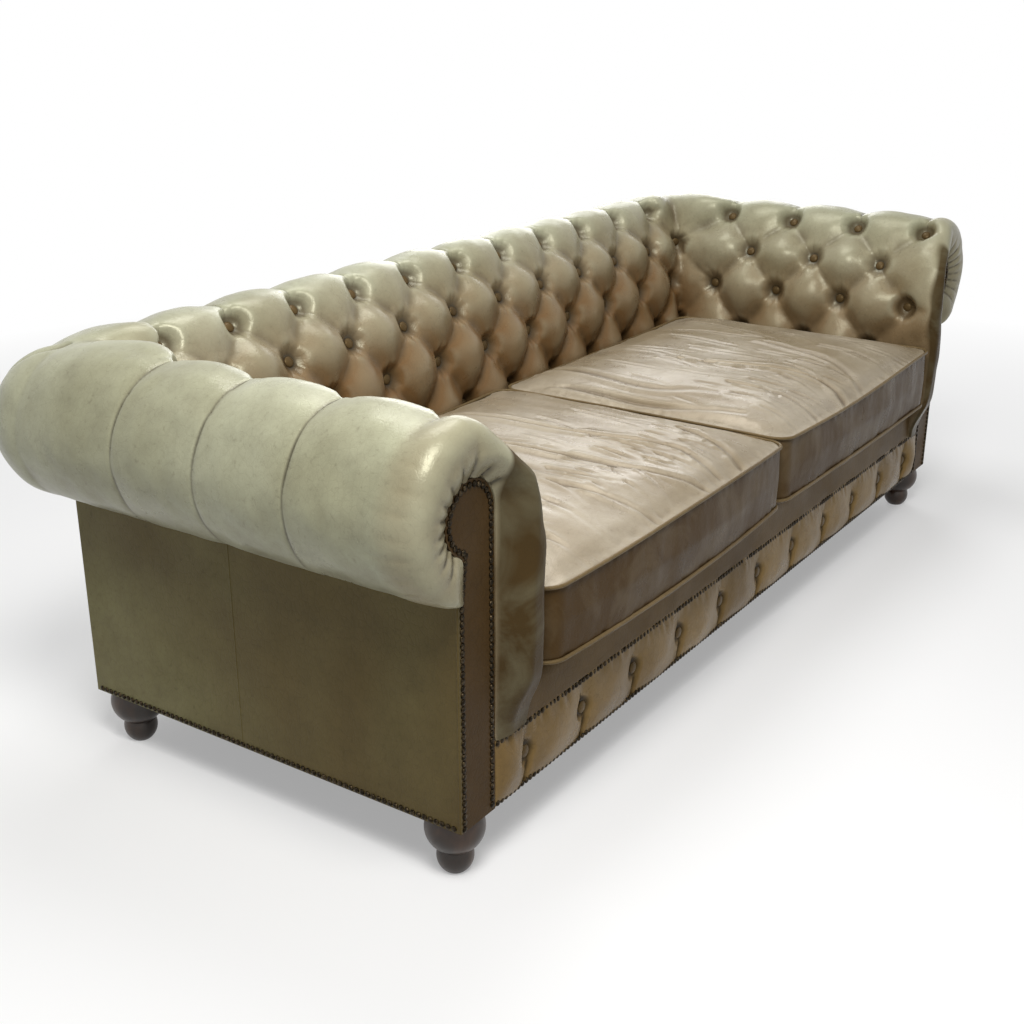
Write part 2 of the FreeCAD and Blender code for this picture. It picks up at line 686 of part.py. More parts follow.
def front_bulge(quilt, front, rows, normals, foot, angles, lifts, valley):
    """Plain edge in front of the first buttons, and the round that ends it."""
    proud, cell = amount("edge_puff"), amount("edge_cell_puff")
    outer = [(level, roll_point(angle, lifts[level])) for level, angle in enumerate(angles)]
    outer += [(name, row + normal * lift) for name, row, normal, lift in
              zip(("one", "two", "three", "four"), rows, normals, (proud - cell, proud, proud, proud))]
    outer.append(("foot", foot))
    outer.append(("sill", Vector(0, foot.y, amount(TUCK))))
    deep = amount("bulge_round")
    tip = front - deep
    for name, point in outer:
        quilt.node(("edge", name), front, point)
    names = [name for name, point in outer]
    for level in range(3):
        bend = arc_control(angles[level], lifts[level], angles[level + 1], lifts[level + 1])
        quilt.curve(("edge", level), ("edge", level + 1), at(front, bend))
    soft = Vector(0, amount("edge_crest"), quilt.nodes[("edge", 3)].z)
    quilt.curve(("edge", 3), ("edge", "one"), at(front, soft))

    for level in range(4):
        middle = (quilt.nodes[("pleat", level, 0)].x + front) / 2
        quilt.curve(("pleat", level, 0), ("edge", level), at(middle, quilt.nodes[("edge", level)]))
    for level in range(3):
        bend = quilt.control(("edge", level), ("edge", level + 1))
        quilt.patch([("pleat", level, 0), ("pleat", level + 1, 0), ("edge", level + 1), ("edge", level)],
                    middle=at((quilt.nodes[("pleat", 0, 0)].x + front) / 2, bend))
    lifted = {"one": ("row", 1, 0), "two": ("row", 2, 0), "three": ("row", 3, 0), "four": ("row", 4, 0)}
    for name, key in lifted.items():
        shape = quilt.nodes[("edge", name)]
        quilt.curve(key, ("edge", name), at((quilt.nodes[key].x + front) / 2, shape))
    quilt.patch([("pleat", 3, 0), ("row", 1, 0), ("edge", "one"), ("edge", 3)])
    quilt.patch([("row", 1, 0), ("row", 2, 0), ("edge", "two"), ("edge", "one")], rise=normals[1] * cell)
    valley(("row", 2, 0), ("row", 3, 0))
    quilt.patch([("row", 2, 0), ("row", 3, 0), ("edge", "three"), ("edge", "two")], rise=normals[2] * cell)
    valley(("row", 3, 0), ("row", 4, 0))
    quilt.patch([("row", 3, 0), ("row", 4, 0), ("edge", "four"), ("edge", "three")], rise=normals[3] * cell)
    quilt.patch([("row", 4, 0), ("foot", 1), ("edge", "foot"), ("edge", "four")], rise=normals[3] * cell)

    # the round: the same ring drawn in by its radius
    plan = {name: point for name, point in outer}
    tips = {}
    for level, angle in enumerate(angles):
        tips[level] = roll_point(angle, lifts[level] - deep)
    seat = amount("panel_thick")
    reach = amount("roll_radius") - deep
    tips[0] = Vector(0, seat, amount("roll_height") - math.sqrt(reach ** 2 - (amount("roll_inset") - seat) ** 2))
    for name, normal in zip(("one", "two", "three", "four"), normals):
        tips[name] = plan[name] - normal * deep
    for name in ("foot", "sill"):
        tips[name] = plan[name] - Vector(0, deep, 0)
    for name in names:
        quilt.node(("tip", name), tip, tips[name])
        quilt.curve(("edge", name), ("tip", name), at(tip, plan[name]))
    for first, last in zip(names, names[1:]):
        bend = quilt.control(("edge", first), ("edge", last))
        drawn = (tips[first] + tips[last]) * 0.5 - (plan[first] + plan[last]) * 0.5
        quilt.curve(("tip", first), ("tip", last), at(tip, bend + drawn))
        quilt.patch([("edge", first), ("edge", last), ("tip", last), ("tip", first)], middle=at(tip, bend))
    return names


def close_back(quilt, columns, ends, front, ring):
    """Flat faces against the frame and at the ends of a pad."""
    near, reach = amount("panel_thick"), amount("frame_reach")
    top, low = amount(FRAME_TOP), amount(TUCK)
    corner = amount("roll_inset")
    count = len(columns)
    tip = None if front is None else front - amount("bulge_round")

    def end_place(inset, sign):
        if sign < 0 and tip is not None:
            return tip
        return sign * ends(max(inset, corner))

    for word, sign in (("far", 1), ("near", -1)):
        quilt.node((word, "seat_top"), end_place(near, sign), Vector(0, near, top))
        quilt.node((word, "turn"), end_place(corner, sign), Vector(0, corner, top))
        quilt.node((word, "reach_top"), end_place(reach, sign), Vector(0, reach, top))
        quilt.node((word, "reach_low"), end_place(reach, sign), Vector(0, reach, low))

    seat_line = []
    foot_line = []
    if front is None:
        seat_line.append(("near", 0))
        foot_line += [("near", "foot"), ("near", "hem")]
    else:
        seat_line += [("tip", 0), ("edge", 0)]
        foot_line.append(("edge", "foot"))
    for i in range(count):
        seat_line.append(("pleat", 0, i))
        if i < count - 1:
            seat_line.append(("ridge", 0, i))
        if front is None or i > 0:
            foot_line.append(("foot", i))
            if i < count - 1:
                foot_line.append(("foot_between", i))
    seat_line.append(("far", 0))
    foot_line += [("far", "hem"), ("far", "foot")]

    quilt.flat(seat_line + [("far", "seat_top"), ("near", "seat_top")])
    top_rim = [("near", "seat_top"), ("far", "seat_top"), ("far", "turn"), ("far", "reach_top"),
               ("near", "reach_top")]
    if front is None:
        top_rim.append(("near", "turn"))
    quilt.flat(top_rim)
    quilt.flat([("near", "reach_top"), ("far", "reach_top"), ("far", "reach_low"), ("near", "reach_low")])
    if front is None:
        sill_line = [("far", "sill"), ("near", "sill")]
    else:
        sill_line = [("far", "sill"), ("edge", "sill"), ("tip", "sill")]
    quilt.flat([("near", "reach_low"), ("far", "reach_low")] + sill_line)
    first_sill = ("near", "sill") if front is None else ("edge", "sill")
    quilt.flat(foot_line + [("far", "sill"), first_sill])
    for word in ("far", "near"):
        if word == "near" and front is not None:
            rim = [("tip", name) for name in ring]
            quilt.flat(rim + [("near", "reach_low"), ("near", "reach_top"), ("near", "seat_top")])
            continue
        quilt.flat([(word, 0), (word, 1), (word, 2), (word, 3), (word, "turn"), (word, "seat_top")])
        quilt.flat([(word, 3), (word, "two"), (word, "three"), (word, "four"), (word, "foot"),
                    (word, "sill"), (word, "reach_low"), (word, "reach_top"), (word, "turn")])


def button_places(quilt, count, normals, both_ends):
    """World place and direction of every button of a pad."""
    found = []
    for row in (1, 2, 3, 4):
        steps = count if row in (1, 3) else count - 1
        for i in range(steps):
            found.append((quilt.nodes[("row", row, i)], normals[row - 1]))
    origin = quilt.place(Vector(0, 0, 0))
    return [(quilt.place(spot), quilt.place(normal) - origin) for spot, normal in found]


def domes(places):
    """Covered buttons: low domes facing the way their pad faces."""
    ball, radius = amount("button_ball"), amount("button_radius")
    tilt = math.degrees(math.acos(radius / ball))
    sink = ball * math.sin(math.radians(tilt))
    shapes = []
    for spot, facing in places:
        centre = spot - facing * (sink - 1)
        shapes.append(Part.makeSphere(ball, centre, facing, tilt, 90, 360))
    return Part.makeCompound(shapes)


def keyhole_prism(side, margin, near, far):
    """Pocket in the padding for the facing or the stump behind it."""
    corners, arcs = keyhole_corners(side, margin)
    points = [Vector(amount(across), near, amount(up)) for across, up in corners]
    bulge = Vector(amount(arcs[2][0][0]), near, amount(arcs[2][0][1]))
    edges = []
    for i, start in enumerate(points):
        end = points[(i + 1) % len(points)]
        if i == 2:
            edges.append(Part.Arc(start, bulge, end).toShape())
        else:
            edges.append(Part.LineSegment(start, end).toShape())
    return Part.Face(Part.Wire(edges)).extrude(Vector(0, far - near, 0))


def padding():
    """Arm pads, back pad, their buttons and the rounded corners of the roll."""
    half, depth = amount(HALF), amount("body_depth")
    front_y, back_y = amount(FRONT), amount(BACK)
    steps = int(amount("(body_depth - corner_room - arm_first) / arm_pitch"))
    arm_columns = [amount("arm_first + arm_pitch * %d" % i) for i in range(steps + 1)]
    bulge = amount("front_bulge")
    start = -(bulge - amount("bulge_round"))
    buttons = {}
    for word, side in SIDES:
        def place(local, side=side):
            return Vector(side * (half - local.y), front_y + local.x, local.z)
        pad, buttons[word + "_arm"] = tufted(place, arm_columns, lambda inset: depth - inset, start)
        behind = amount("facing_thick")
        pocket = keyhole_prism(side, "-fit_gap", front_y - bulge - 1, front_y + behind)
        slot = keyhole_prism(side, "(facing_margin - fit_gap)", front_y + behind,
                             front_y + behind + amount("stump_thick"))
        pad = pad.cut(pocket).cut(slot)
        solid_feature(word + "_arm_pad", pad)
    steps = int(amount("(body_width / 2 - corner_room) / back_pitch"))
    back_columns = [amount("back_pitch * %d" % i) for i in range(-steps, steps + 1)]
    pad, buttons["back"] = tufted(lambda local: Vector(local.x, back_y - local.y, local.z),
                                  back_columns, lambda inset: half - inset, None)
    solid_feature("back_pad", pad)
    for name, places in buttons.items():
        if name == "back":
            rows = rolled_profile()[0]
            diagonal = math.sqrt(0.5)
            for side in (-1, 1):
                for row in (rows[1], rows[3]):
                    places.append((Vector(side * (half - row.y), back_y - row.y, row.z),
                                   Vector(-side * diagonal, -diagonal, 0)))
        solid_feature(name + "_buttons", domes(places))
    roll_corners()


def roll_corners():
    """Quarter balls that carry the roll round the back corners."""
    for word, side in SIDES:
        ball = doc.addObject("Part::Sphere", word + "_corner_ball")
        ball.setExpression("Radius", bound("roll_radius"))
        ball.Angle3 = 90
        turn = 0 if side > 0 else 90
        ball.Placement = Placement(Vector(0, 0, 0), Rotation(Vector(0, 0, 1), turn))
        ball.setExpression("Placement.Base.x", bound("%d * (%s - roll_inset)" % (side, HALF)))
        ball.setExpression("Placement.Base.y", bound(BACK + " - roll_inset"))
        ball.setExpression("Placement.Base.z", bound("roll_height"))
        frame_space = box(word + "_corner_space", inward(side, "panel_thick", "2 * frame_reach"),
                          (BACK + " - 2 * frame_reach", BACK + " - panel_thick"),
                          ("foot_height", FRAME_TOP))
        corner = doc.addObject("Part::Cut", word + "_roll_corner")
        corner.Base = ball
        corner.Tool = frame_space
        keep(corner, word + "_roll_corner")


# Covers

def outside_panels():
    """Plain outside panels of both arms and the back."""
    rise = "roll_height - sqrt(roll_radius ^ 2 - (roll_inset - panel_thick) ^ 2) - fit_gap"
    for word, side in SIDES:
        name = word + "_outside_panel"
        keep(box(name, inward(side, "0", "panel_thick"), (FRONT, BACK), ("foot_height", rise)), name)
        keyhole_board(word + "_facing", side, "0", "0", "facing_thick")
    keep(box("back_outside_panel", ("-%s + panel_thick" % HALF, "%s - panel_thick" % HALF),
             (BACK + " - panel_thick", BACK), ("foot_height", rise)), "back_outside_panel")


def front_border():
    """Buttoned border along the base, between the facings."""
    front_y = amount(FRONT)
    thick, sink = amount("border_thick"), amount("border_sink")
    proud = thick + amount("border_puff")
    low, high = amount("foot_height"), amount(TUCK)
    middle = (low + high) / 2
    end = amount(HALF + " - head_inset - head_radius - fit_gap")
    pitch = amount("border_pitch")
    steps = int((end - amount("border_room")) / pitch)
    columns = [pitch * i for i in range(-steps, steps + 1)]
    stations = [-end] + columns + [end]
    last = len(stations) - 1
    # local points are (along, out from the rail, height)
    quilt = Quilt(lambda local: Vector(local.x, front_y + thick - local.y, local.z))
    for i, along in enumerate(stations):
        out = thick if i in (0, last) else thick - sink
        quilt.node(("low", i), along, Vector(0, thick, low))
        quilt.node(("button", i), along, Vector(0, out, middle))
        quilt.node(("high", i), along, Vector(0, thick, high))
        quilt.node(("rail_low", i), along, Vector(0, 0, low))
        quilt.node(("rail_high", i), along, Vector(0, 0, high))
    for i in range(last):
        along = (stations[i] + stations[i + 1]) / 2
        quilt.curve(("button", i), ("button", i + 1), Vector(along, 2 * proud - thick, middle))
        for rim in ("low", "high"):
            height = quilt.nodes[(rim, i)].z
            crown = Vector(along, 2 * proud - thick, (height + middle) / 2)
            quilt.patch([(rim, i), ("button", i), ("button", i + 1), (rim, i + 1)], middle=crown)
            quilt.flat([(rim, i), (rim, i + 1), ("rail_" + rim, i + 1), ("rail_" + rim, i)])
    for i in (0, last):
        quilt.flat([("low", i), ("button", i), ("high", i), ("rail_high", i), ("rail_low", i)])
    quilt.flat([("rail_low", i) for i in range(last + 1)] + [("rail_high", i) for i in range(last, -1, -1)])
    solid_feature("front_border_pad", quilt.solid())
    spots = [(quilt.place(quilt.nodes[("button", i)]), Vector(0, -1, 0)) for i in range(1, last)]
    solid_feature("border_buttons", domes(spots))


# Seat

def seat_deck():
    """Padded deck and the rolled lip along its front."""
    wide = ("-%s + pad_foot_inset + fit_gap" % HALF, "%s - pad_foot_inset - fit_gap" % HALF)
    keep(box("seat_deck_pad", wide, (FRONT + " + lip_depth - lip_proud",
                                     BACK + " - pad_foot_inset - fit_gap"),
             (TUCK, "deck_height")), "seat_deck_pad")
    body = doc.addObject("PartDesign::Body", "deck_lip")
    face = "%s - lip_proud" % FRONT
    rear = "%s + lip_depth - lip_proud" % FRONT
    corners = [(face, TUCK), (rear, TUCK), (rear, "deck_height"),
               (face + " + lip_round", "deck_height"), (face, "deck_height - lip_round")]
    bulge = (face + " + lip_round * (1 - sqrt(0.5))", "deck_height - lip_round * (1 - sqrt(0.5))")
    sketch = outline(body, "YZ_Plane", corners, {3: (bulge, "lip_round")})
    pad = body.newObject("PartDesign::Pad", "deck_lip_pad")
    pad.Profile = sketch
    pad.setExpression("Length", bound("2 * (%s - pad_foot_inset - fit_gap)" % HALF))
    body.setExpression("Placement.Base.x", bound("-(%s - pad_foot_inset - fit_gap)" % HALF))
    keep(body, "deck_lip")


def cushion_ring(left, right, front, back, height, inset, draw):
    """One level of a cushion: sides drawn in between rounded corners."""
    left, right, front, back = left + inset, right - inset, front + inset, back - inset
    radius = amount("cushion_corner")
    slant = radius * (1 - math.sqrt(0.5))
    middle_x, middle_y = (left + right) / 2, (front + back) / 2
    points = [
        ((left + radius, front), (middle_x, front + draw), (right - radius, front)),
        ((right - radius, front), (right - slant, front + slant), (right, front + radius)),
        ((right, front + radius), (right - draw, middle_y), (right, back - radius)),
        ((right, back - radius), (right - slant, back - slant), (right - radius, back)),
        ((right - radius, back), (middle_x, back - draw), (left + radius, back)),
        ((left + radius, back), (left + slant, back - slant), (left, back - radius)),
        ((left, back - radius), (left + draw, middle_y), (left, front + radius)),
        ((left, front + radius), (left + slant, front + slant), (left + radius, front)),
    ]
    edges = [Part.Arc(*[Vector(x, y, height) for x, y in three]).toShape() for three in points]
    return Part.Wire(edges)


def cushions():
    """Two loose seat cushions, crowned, with boxed sides."""
    deepest = max(amount("row_three_inset"), amount("row_four_inset")) + amount("puff_rise")
    reach = amount(HALF) - deepest - amount("cushion_clear")
    split = amount("cushion_split") / 2
    front = amount(FRONT + " - cushion_overhang")
    back = amount(BACK) - deepest - amount("cushion_clear")
    base = amount("deck_height + rest_gap")
    seam, crown = amount("seam_height"), amount("cushion_crown")
    welt = base + amount("welt_height")
    draw = amount("cushion_draw")
    levels = [(base, amount("cushion_tuck"), 0.3), (welt, 0, 1),
              ((welt + seam) / 2, -amount("boxing_bulge"), 0.4), (seam, 0, 1)]
    for share in (0.2, 0.55, 1):
        levels.append((seam + crown * (1 - (1 - share) ** 3), amount("crown_reach") * share, 1 - share * 0.9))
    for word, left, right in (("left", -reach, -split), ("right", split, reach)):
        rings = [cushion_ring(left, right, front, back, height, inset, draw * share)
                 for height, inset, share in levels]
        solid_feature(word + "_seat_cushion", Part.makeLoft(rings, True, True))


# Feet

def feet():
    """Turned bun feet with the bolts that hold them."""
    studs = []
    step_radius = "foot_neck_radius + foot_step"
    step_height = "foot_neck_height + foot_step"
    corners = [
        ("0", "0"), ("foot_base_radius", "0"), ("foot_neck_radius", "foot_neck_height"),
        (step_radius, step_height), ("foot_top_radius", "foot_height"), ("0", "foot_height"),
    ]
    arcs = {
        1: (("foot_neck_radius + 3", "foot_neck_height / 2"), "bun_round"),
        3: (("foot_top_radius + 7", "(foot_neck_height + foot_height) / 2"), "ring_round"),
    }
    for end, (word, side) in itertools.product(("front", "back"), SIDES):
        name = "%s_%s" % (end, word)
        place_x, place_y = foot_place(end, side)
        body = doc.addObject("PartDesign::Body", name + "_foot")
        sketch = outline(body, "XZ_Plane", corners, arcs)
        turned = body.newObject("PartDesign::Revolution", name + "_turned")
        turned.Profile = sketch
        turned.ReferenceAxis = (sketch, ["V_Axis"])
        turned.Angle = 360
        body.setExpression("Placement.Base.x", bound(place_x))
        body.setExpression("Placement.Base.y", bound(place_y))
        keep(body, name + "_foot")
        stud = doc.addObject("Part::Cylinder", name + "_stud")
        stud.setExpression("Radius", bound("stud_radius"))
        stud.setExpression("Height", bound("stud_length"))
        stud.setExpression("Placement.Base.x", bound(place_x))
        stud.setExpression("Placement.Base.y", bound(place_y))
        stud.setExpression("Placement.Base.z", bound("foot_height"))
        studs.append(stud)
    group("foot_studs", studs)


def check_and_export():
    """Stop on a failed feature, then write each sub-part."""
    doc.recompute()
    for item in doc.Objects:
        if "Invalid" in item.State or "Error" in item.State:
            raise RuntimeError("%s failed: %s" % (item.Label, item.State))
    os.makedirs("parts", exist_ok=True)
    for piece in pieces:
        shape = piece.Shape
        if shape.isNull() or not shape.isValid() or not shape.Solids:
            raise RuntimeError("%s has no valid shape" % piece.Label)
    for piece in pieces:
        piece.Shape.exportStep("parts/%s.step" % piece.Label)
        print("%-22s %3d solids %10.0f mm3" % (piece.Label, len(piece.Shape.Solids), piece.Shape.Volume))


rails()
corner_blocks()
arm_and_back_frames()
webbing()
dust_cover()
padding()
outside_panels()
front_border()
seat_deck()
cushions()
feet()
check_and_export()
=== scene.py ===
import math

import bmesh
import bpy
import numpy as np
from mathutils import Matrix, Vector, kdtree, noise


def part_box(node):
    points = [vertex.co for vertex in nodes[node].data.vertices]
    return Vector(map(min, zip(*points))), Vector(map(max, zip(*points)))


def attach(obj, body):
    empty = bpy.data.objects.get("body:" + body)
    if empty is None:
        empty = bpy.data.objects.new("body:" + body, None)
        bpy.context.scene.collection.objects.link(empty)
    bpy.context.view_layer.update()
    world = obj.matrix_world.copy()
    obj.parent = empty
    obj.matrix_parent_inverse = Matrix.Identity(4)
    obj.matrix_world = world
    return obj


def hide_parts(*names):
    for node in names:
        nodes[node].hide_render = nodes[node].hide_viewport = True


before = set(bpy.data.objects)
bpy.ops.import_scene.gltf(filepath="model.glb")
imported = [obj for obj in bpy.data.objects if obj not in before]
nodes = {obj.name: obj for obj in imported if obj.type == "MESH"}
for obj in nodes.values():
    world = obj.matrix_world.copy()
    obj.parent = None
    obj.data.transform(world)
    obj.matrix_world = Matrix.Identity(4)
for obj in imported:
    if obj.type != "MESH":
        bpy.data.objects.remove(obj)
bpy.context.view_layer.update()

# Body of the sofa, metres: insets are measured in from the outer panels
HALF = 1.075
FRONT = -0.4628
BACK = 0.3832
UNDERSIDE = 0.108
BORDER_TOP = 0.2312
ROLL_INSET = 0.018
ROLL_HEIGHT = 0.636
ROLL_RADIUS = 0.136
ROLL_START = math.radians(-85.8)
ROWS = ((0.047, 0.740), (0.113, 0.661), (0.137, 0.566), (0.139, 0.447))
TUCK_LINE = (0.172, 0.318)
PLEAT_RISE = 0.009
BACK_COLUMNS = [0.1786 * i for i in range(-5, 6)]
ARM_COLUMNS = [0.045 + 0.183 * i for i in range(4)]
ARM_LENGTH = 0.846
BORDER_COLUMNS = [0.179 * i for i in range(-5, 6)]
HEAD_INSET = 0.032
HEAD_HEIGHT = 0.628
HEAD_RADIUS = 0.060
BOTTOM_SEAM = 0.3353
TOP_SEAM = 0.470
BUTTON_RADIUS = 0.0110
FRONT_TURN = 0.050
FRONT_SWELL = 0.030
INWARD_SWELL = 0.012
SKIN_VOXEL = 0.0044
CUSHION_VOXEL = 0.005
BUTTON_SINK = 0.0050
FUNNEL_SINK = 0.0055
# Creases as depth at their start, depth at their end and width
PLEAT = (0.0055, 0.0055, 0.0080)
ROLL_PLEAT = (0.0060, 0.0026, 0.0038)
GATHER = (0.0060, 0.0008, 0.0065)
BORDER_PLEAT = (0.0085, 0.0060, 0.0065)
BORDER_TUCK = (0.0060, 0.0010, 0.0080)
WIDE_PLEAT = 0.007
SEAT_LEVEL = 0.49
NAIL_PITCH = 0.0118
NAIL_RADIUS = 0.0054
NAIL_HEIGHT = UNDERSIDE + 0.0065
NECK_DROP = 0.056
SHOULDER_DROP = 0.128
WELT_RADIUS = 0.0036
PIPING_RADIUS = 0.0024
SEAM_RADIUS = 0.0014
MIDDLE_OF_BORDER = (UNDERSIDE + BORDER_TOP) / 2
BORDER_FACE = FRONT + 0.004
SIDES = (("left", -1), ("right", 1))


# Places on the upholstery

def on_back(along, inset, height):
    return Vector((along, BACK - inset, height))


def on_left_arm(along, inset, height):
    return Vector((inset - HALF, FRONT + along, height))


def on_right_arm(along, inset, height):
    return Vector((HALF - inset, FRONT + along, height))


def row_normals():
    """Which way the padding faces at each button row, as (inset, height) directions."""
    chain = [(ROLL_INSET, ROLL_HEIGHT + ROLL_RADIUS)] + list(ROWS) + [TUCK_LINE]
    found = []
    for before, after in zip(chain, chain[2:]):
        across, up = after[0] - before[0], after[1] - before[1]
        size = math.hypot(across, up)
        found.append((-up / size, across / size))
    return found


def bend(start, middle, end, count=20):
    """Points along a quadratic curve."""
    points = []
    for step in range(count + 1):
        t = step / count
        points.append(start * (1 - t) ** 2 + middle * (2 * t * (1 - t)) + end * t ** 2)
    return points


def round_roll(place, along, low, high, lift=0.0, count=40):
    """Points round the roll between two angles."""
    points = []
    for step in range(count + 1):
        turn = low + (high - low) * step / count
        radius = ROLL_RADIUS + lift
        points.append(place(along, ROLL_INSET - radius * math.cos(turn),
                            ROLL_HEIGHT + radius * math.sin(turn)))
    return points


class Tufting:
    """Buttons and pleat lines of one pad; each line is (points, depth at its start, at its end)."""

    def __init__(self, place, columns, reach, mitred_front):
        self.place = place
        self.normals = row_normals()
        self.buttons = []
        self.pleats = []
        self.roll_pleats = []
        between = [(a + b) / 2 for a, b in zip(columns, columns[1:])]
        rows = [[(along, row) for along in (columns if row % 2 == 0 else between)] for row in range(4)]
        for row in rows:
            for along, index in row:
                inset, height = ROWS[index]
                across, up = self.normals[index]
                spot = place(along, inset, height)
                self.buttons.append((spot, place(along, inset + across, height + up) - spot))
        for i, along in enumerate(between):
            for column in (columns[i], columns[i + 1]):
                self.valley(column, 0, along, 1)
                self.valley(along, 1, column, 2)
                self.valley(column, 2, along, 3)
        feet = columns if mitred_front else columns[1:]
        for along in feet:
            for neighbour in between:
                if abs(neighbour - along) < abs(columns[1] - columns[0]) * 0.6:
                    self.valley(neighbour, 3, along, 4)
        for along in columns:
            self.roll_pleat(along, mitred_front or along > columns[0])
        ends = [(1, columns[-1])]
        if mitred_front:
            ends.append((-1, columns[0]))
        for sign, last in ends:
            self.valley(last, 0, sign * reach(ROWS[1][0]), 1)
            self.valley(last, 2, sign * reach(ROWS[1][0]), 1)
            self.valley(last, 2, sign * reach(ROWS[3][0]), 3)
            self.valley(last, 4, sign * reach(ROWS[3][0]), 3)

    def spot(self, along, row):
        inset, height = ROWS[row] if row < 4 else TUCK_LINE
        return Vector((along, inset, height))

    def valley(self, along_a, row_a, along_b, row_b):
        """A pleat between two buttons, lifted as the padding lifts it."""
        start, end = self.spot(along_a, row_a), self.spot(along_b, row_b)
        rise = PLEAT_RISE / 2 if 4 in (row_a, row_b) else PLEAT_RISE
        middle = (start + end) / 2
        for row in (row_a, row_b):
            across, up = self.normals[min(row, 3)]
            middle += Vector((0, across, up)) * rise
        points = [self.place(*point) for point in bend(start, middle, end)]
        self.pleats.append(points)

    def roll_pleat(self, along, whole):
        crest = ROLL_HEIGHT + ROLL_RADIUS
        over = [self.place(*point) for point in
                bend(Vector((along, ROWS[0][0], ROWS[0][1])), Vector((along, ROWS[0][0] - 0.004, crest)),
                     Vector((along, ROLL_INSET, crest)), 12)]
        down = round_roll(self.place, along, math.pi / 2, ROLL_START if whole else 1.2)
        self.roll_pleats.append(over + down[1:])


back_tufting = Tufting(on_back, BACK_COLUMNS, lambda inset: HALF - inset, True)
arm_tufting = {
    "left": Tufting(on_left_arm, ARM_COLUMNS, lambda inset: ARM_LENGTH - inset, False),
    "right": Tufting(on_right_arm, ARM_COLUMNS, lambda inset: ARM_LENGTH - inset, False),
}
all_tufting = [back_tufting, arm_tufting["left"], arm_tufting["right"]]


def corner_buttons():
    """Two buttons in each inside corner, facing along the diagonal."""
    found = []
    for word, side in SIDES:
        for inset, height in (ROWS[1], ROWS[3]):
            found.append((Vector((side * (HALF - inset), BACK - inset, height)),
                          Vector((-side, -1, 0)).normalized()))
    return found


# Mesh work

def select_only(*pieces):
    bpy.ops.object.select_all(action="DESELECT")
    for piece in pieces:
        piece.select_set(True)
    bpy.context.view_layer.objects.active = pieces[0]


def copy_of(names, title):
    """One new object from copies of CAD nodes, with their loose triangles merged."""
    copies = []
    for name in names:
        copy = nodes[name].copy()
        copy.data = nodes[name].data.copy()
        copy.parent = None
        bpy.context.scene.collection.objects.link(copy)
        for key in list(copy.keys()):
            del copy[key]
        copies.append(copy)
    for copy in copies:
        work = bmesh.new()
        work.from_mesh(copy.data)
        bmesh.ops.remove_doubles(work, verts=work.verts, dist=0.00002)
        work.to_mesh(copy.data)
        work.free()
    select_only(*copies)
    if len(copies) > 1:
        bpy.ops.object.join()
    piece = copies[0]
    piece.hide_render = False
    piece.name = title
    piece.data.name = title
    piece.data.materials.clear()
    return piece


def remesh(piece, voxel):
    select_only(piece)
    piece.data.remesh_voxel_size = voxel
    bpy.ops.object.voxel_remesh()
    bpy.ops.object.shade_smooth()


class Skin:
    """The points, normals and neighbours of a piece's mesh, worked on all together."""

    def __init__(self, piece):
        self.piece = piece
        mesh = piece.data
        self.count = len(mesh.vertices)
        self.points = self.read(mesh.vertices, "co")
        self.normals = self.read(mesh.vertices, "normal")
        ends = np.zeros(len(mesh.edges) * 2, np.int64)
        mesh.edges.foreach_get("vertices", ends)
        self.starts, self.stops = ends[0::2], ends[1::2]
        self.degree = np.bincount(ends, minlength=self.count).astype(float)

    def read(self, items, name):
        values = np.zeros(self.count * 3)
        items.foreach_get(name, values)
        return values.reshape(-1, 3)

    def blur(self, values, times, share=0.5):
        """Average each value with its neighbours'."""
        flat = values if values.ndim == 2 else values[:, None]
        for step in range(times):
            total = np.empty_like(flat)
            for axis in range(flat.shape[1]):
                column = flat[:, axis]
                total[:, axis] = (np.bincount(self.starts, column[self.stops], self.count)
                                  + np.bincount(self.stops, column[self.starts], self.count))
            flat = flat * (1 - share) + total / self.degree[:, None] * share
        return flat if values.ndim == 2 else flat[:, 0]

    def soften_normals(self, times):
        self.normals = self.blur(self.normals, times)
        self.normals /= np.linalg.norm(self.normals, axis=1)[:, None] + 1e-9

    def push(self, amounts):
        """Move every point along its normal."""
        self.points += self.normals * amounts[:, None]

    def write(self):
        mesh = self.piece.data
        mesh.vertices.foreach_set("co", self.points.ravel())
        mesh.update()

    def store(self, name, values):
        """Keep a value per point for the materials."""
        layer = self.piece.data.attributes.new(name, "FLOAT", "POINT")
        layer.data.foreach_set("value", np.clip(values, 0, 1).astype(np.float32))

    def relief(self, times):
        """How far each point stands out from the smoothed skin."""
        return np.sum((self.points - self.blur(self.points, times)) * self.normals, axis=1)

    def refresh_normals(self):
        self.write()
        self.normals = self.read(self.piece.data.vertices, "normal")


def nearest(points, targets):
    """Distance to, and index of, the nearest target for every point."""
    tree = kdtree.KDTree(len(targets))
    for index, target in enumerate(targets):
        tree.insert(target, index)
    tree.balance()
    distances = np.empty(len(points))
    indices = np.empty(len(points), np.int64)
    for i, point in enumerate(points):
        found = tree.find(point)
        indices[i], distances[i] = found[1], found[2]
    return distances, indices


def smooth_step(values, low, high):
    t = np.clip((values - low) / (high - low), 0, 1)
    return t * t * (3 - 2 * t)


def lumps(points, scale, seed):
    """Soft seeded noise from -1 to 1 at every point."""
    shift = Vector((seed * 13.7, seed * 7.1, seed * 3.3))
    return np.array([noise.noise(Vector(point) * scale + shift) for point in points])


